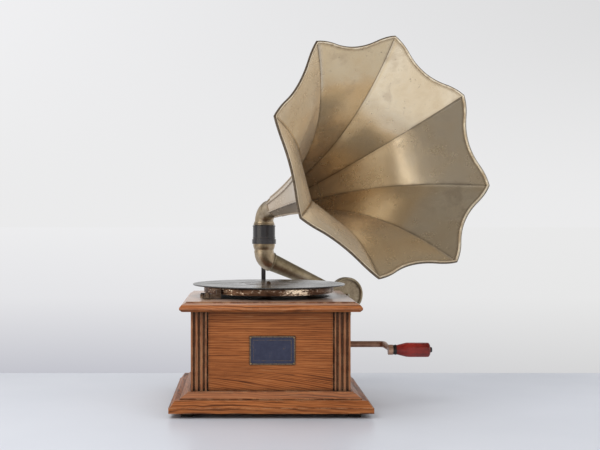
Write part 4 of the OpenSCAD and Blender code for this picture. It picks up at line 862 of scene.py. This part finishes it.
def make_floor():
    """A pale floor. Past the table's back edge it glows as a backdrop; in front, for reflections only, it
    glows as painted light.
    """
    mesh = bpy.data.meshes.new("floor")
    wide = 60.0
    corners = [(-wide, -wide, 0), (wide, -wide, 0), (wide, wide, 0), (-wide, wide, 0)]
    mesh.from_pydata(corners, [], [(0, 1, 2, 3)])
    o = bpy.data.objects.new("floor", mesh)
    bpy.context.scene.collection.objects.link(o)
    g = Graph("pale_floor", Specular_IOR_Level=0.28)
    p = g.place()
    x, y, z = g.split(p)
    cloud = g.noise(g.mapped(p, (1.3, 1.3, 1.3)), 1.0, 3.0)
    near = g.mix(cloud, (0.52, 0.54, 0.59), (0.55, 0.567, 0.61))
    # Painted light: the floor is painted lighter towards the left
    near = g.mix(g.span(x, -0.1, -0.5, 0.0, 1.0), near, (0.59, 0.61, 0.66))
    smear = g.noise(g.mapped(p, (5, 5, 5)), 1.0, 3.0)
    g.finish(near, g.span(smear, 0.3, 0.7, 0.3, 0.36))
    past = g.math("ABSOLUTE", g.math("SUBTRACT", y, TABLE_BACK))
    far = g.math("DIVIDE", FADE, g.math("ADD", past, FADE))
    left = g.ramp(far, (0.0, (0.85, 0.85, 0.86)), (0.5, (0.78, 0.78, 0.8)), (1.0, (0.55, 0.555, 0.605)))
    right = g.ramp(far, (0.0, (0.82, 0.82, 0.82)), (0.5, (0.8, 0.8, 0.8)), (1.0, (0.67, 0.67, 0.675)))
    far_colour = g.mix(g.span(g.math("MULTIPLY", x, far), -0.45, 0.6), left, right)
    glow = g.add("ShaderNodeEmission")
    card = g.add("ShaderNodeEmission")
    card.inputs["Color"].default_value = (0.95, 0.94, 0.92, 1.0)
    g.put(glow.inputs["Color"], far_colour)
    ray = g.add("ShaderNodeLightPath").outputs
    mirrored = g.math("MAXIMUM", ray["Is Glossy Ray"], ray["Is Transmission Ray"])
    seen = g.math("MAXIMUM", ray["Is Camera Ray"], mirrored)
    both = g.add("ShaderNodeMixShader")
    g.put(both.inputs[0], g.math("MULTIPLY", seen, g.math("GREATER_THAN", y, TABLE_BACK)))
    g.put(both.inputs[1], g.bsdf.outputs[0])
    g.put(both.inputs[2], glow.outputs[0])
    # Painted light: in reflections the floor in front and a round pool before the horn glow
    front = g.add("ShaderNodeMixShader")
    pool = g.span(g.vec("DISTANCE", p, POOL), POOL_EDGE, POOL_FULL)
    pale = g.math("MAXIMUM", pool, g.span(y, CARD_FROM, CARD_FULL))
    g.put(front.inputs[0], g.math("MULTIPLY", ray["Is Glossy Ray"], pale))
    g.put(front.inputs[1], both.outputs[0])
    g.put(front.inputs[2], card.outputs[0])
    g.put(g.out.inputs[0], front.outputs[0])
    mesh.materials.append(g.mat)


def make_world():
    """Pale for the camera; in reflections pale behind and beside the object and dim elsewhere; soft light."""
    w = bpy.data.worlds.new("studio")
    w.use_nodes = True
    bpy.context.scene.world = w
    g = Graph.__new__(Graph)
    g.tree = w.node_tree
    g.tree.nodes.clear()
    out = g.add("ShaderNodeOutputWorld")
    x, y, z = g.split(g.add("ShaderNodeTexCoord").outputs["Generated"])
    side = g.span(x, -0.3, 0.4, smooth=False)
    high = g.mix(side, (0.89, 0.89, 0.905), (0.7, 0.7, 0.705))
    pale = g.mix(g.span(z, 0.0, 0.22), (0.83, 0.83, 0.835), high)
    behind = g.math("MULTIPLY", g.span(y, -0.3, 0.5), g.span(z, 0.55, 0.15))
    studio = g.mix(behind, (0.2, 0.19, 0.18), (0.8, 0.8, 0.8))
    beside = g.math("MULTIPLY", g.span(x, 0.3, 0.75), g.span(z, 0.75, 0.3))
    studio = g.mix(beside, studio, (0.85, 0.82, 0.78))
    view, mirror, lit = (g.add("ShaderNodeBackground") for _ in range(3))
    g.put(view.inputs["Color"], pale)
    g.put(mirror.inputs["Color"], studio)
    g.put(lit.inputs["Color"], (0.93, 0.95, 1.0))
    lit.inputs["Strength"].default_value = 0.6
    ray = g.add("ShaderNodeLightPath").outputs
    a, b = (g.add("ShaderNodeMixShader") for _ in range(2))
    g.put(a.inputs[0], g.math("MAXIMUM", ray["Is Glossy Ray"], ray["Is Transmission Ray"]))
    g.put(a.inputs[1], lit.outputs[0])
    g.put(a.inputs[2], mirror.outputs[0])
    g.put(b.inputs[0], ray["Is Camera Ray"])
    g.put(b.inputs[1], a.outputs[0])
    g.put(b.inputs[2], view.outputs[0])
    g.put(out.inputs[0], b.outputs[0])


def lamp(name, place, size, power, colour=(1, 1, 1), mirrored=True):
    """An area lamp aimed at the middle of the object."""
    data = bpy.data.lights.new(name, "AREA")
    data.shape = "RECTANGLE"
    data.size, data.size_y = size
    data.energy = power
    data.color = colour
    o = bpy.data.objects.new(name, data)
    o.location = place
    o.rotation_euler = (AIM - Vector(place)).to_track_quat("-Z", "Y").to_euler()
    o.visible_glossy = mirrored
    bpy.context.scene.collection.objects.link(o)


def make_camera():
    """Level, looking along +y, with the picture shifted as in the photo."""
    data = bpy.data.cameras.new("camera")
    data.sensor_width = 36.0
    data.lens = 62.56
    data.shift_x = 0.0961
    data.shift_y = -0.0044
    data.clip_end = 200.0
    o = bpy.data.objects.new("camera", data)
    o.location = CAMERA
    o.rotation_euler = (math.pi / 2, 0, 0)
    bpy.context.scene.collection.objects.link(o)
    bpy.context.scene.camera = o
    bpy.context.scene.view_settings.view_transform = "Standard"


make_floor()
make_world()
make_camera()
AIM = Vector((0.0, 0.0, 0.3))
lamp("softbox", place=(-2.13, -1.31, 0.62), size=(2.0, 1.0), power=10, colour=(1.0, 0.94, 0.84))
lamp("key", place=(-1.2, -1.6, 1.9), size=(1.6, 1.2), power=32, colour=(1.0, 0.985, 0.96), mirrored=False)
lamp("fill", place=(1.9, -1.3, 1.2), size=(1.4, 1.4), power=15, mirrored=False)
lamp("top", place=(0.1, 0.1, 2.3), size=(1.8, 1.4), power=18, mirrored=False)
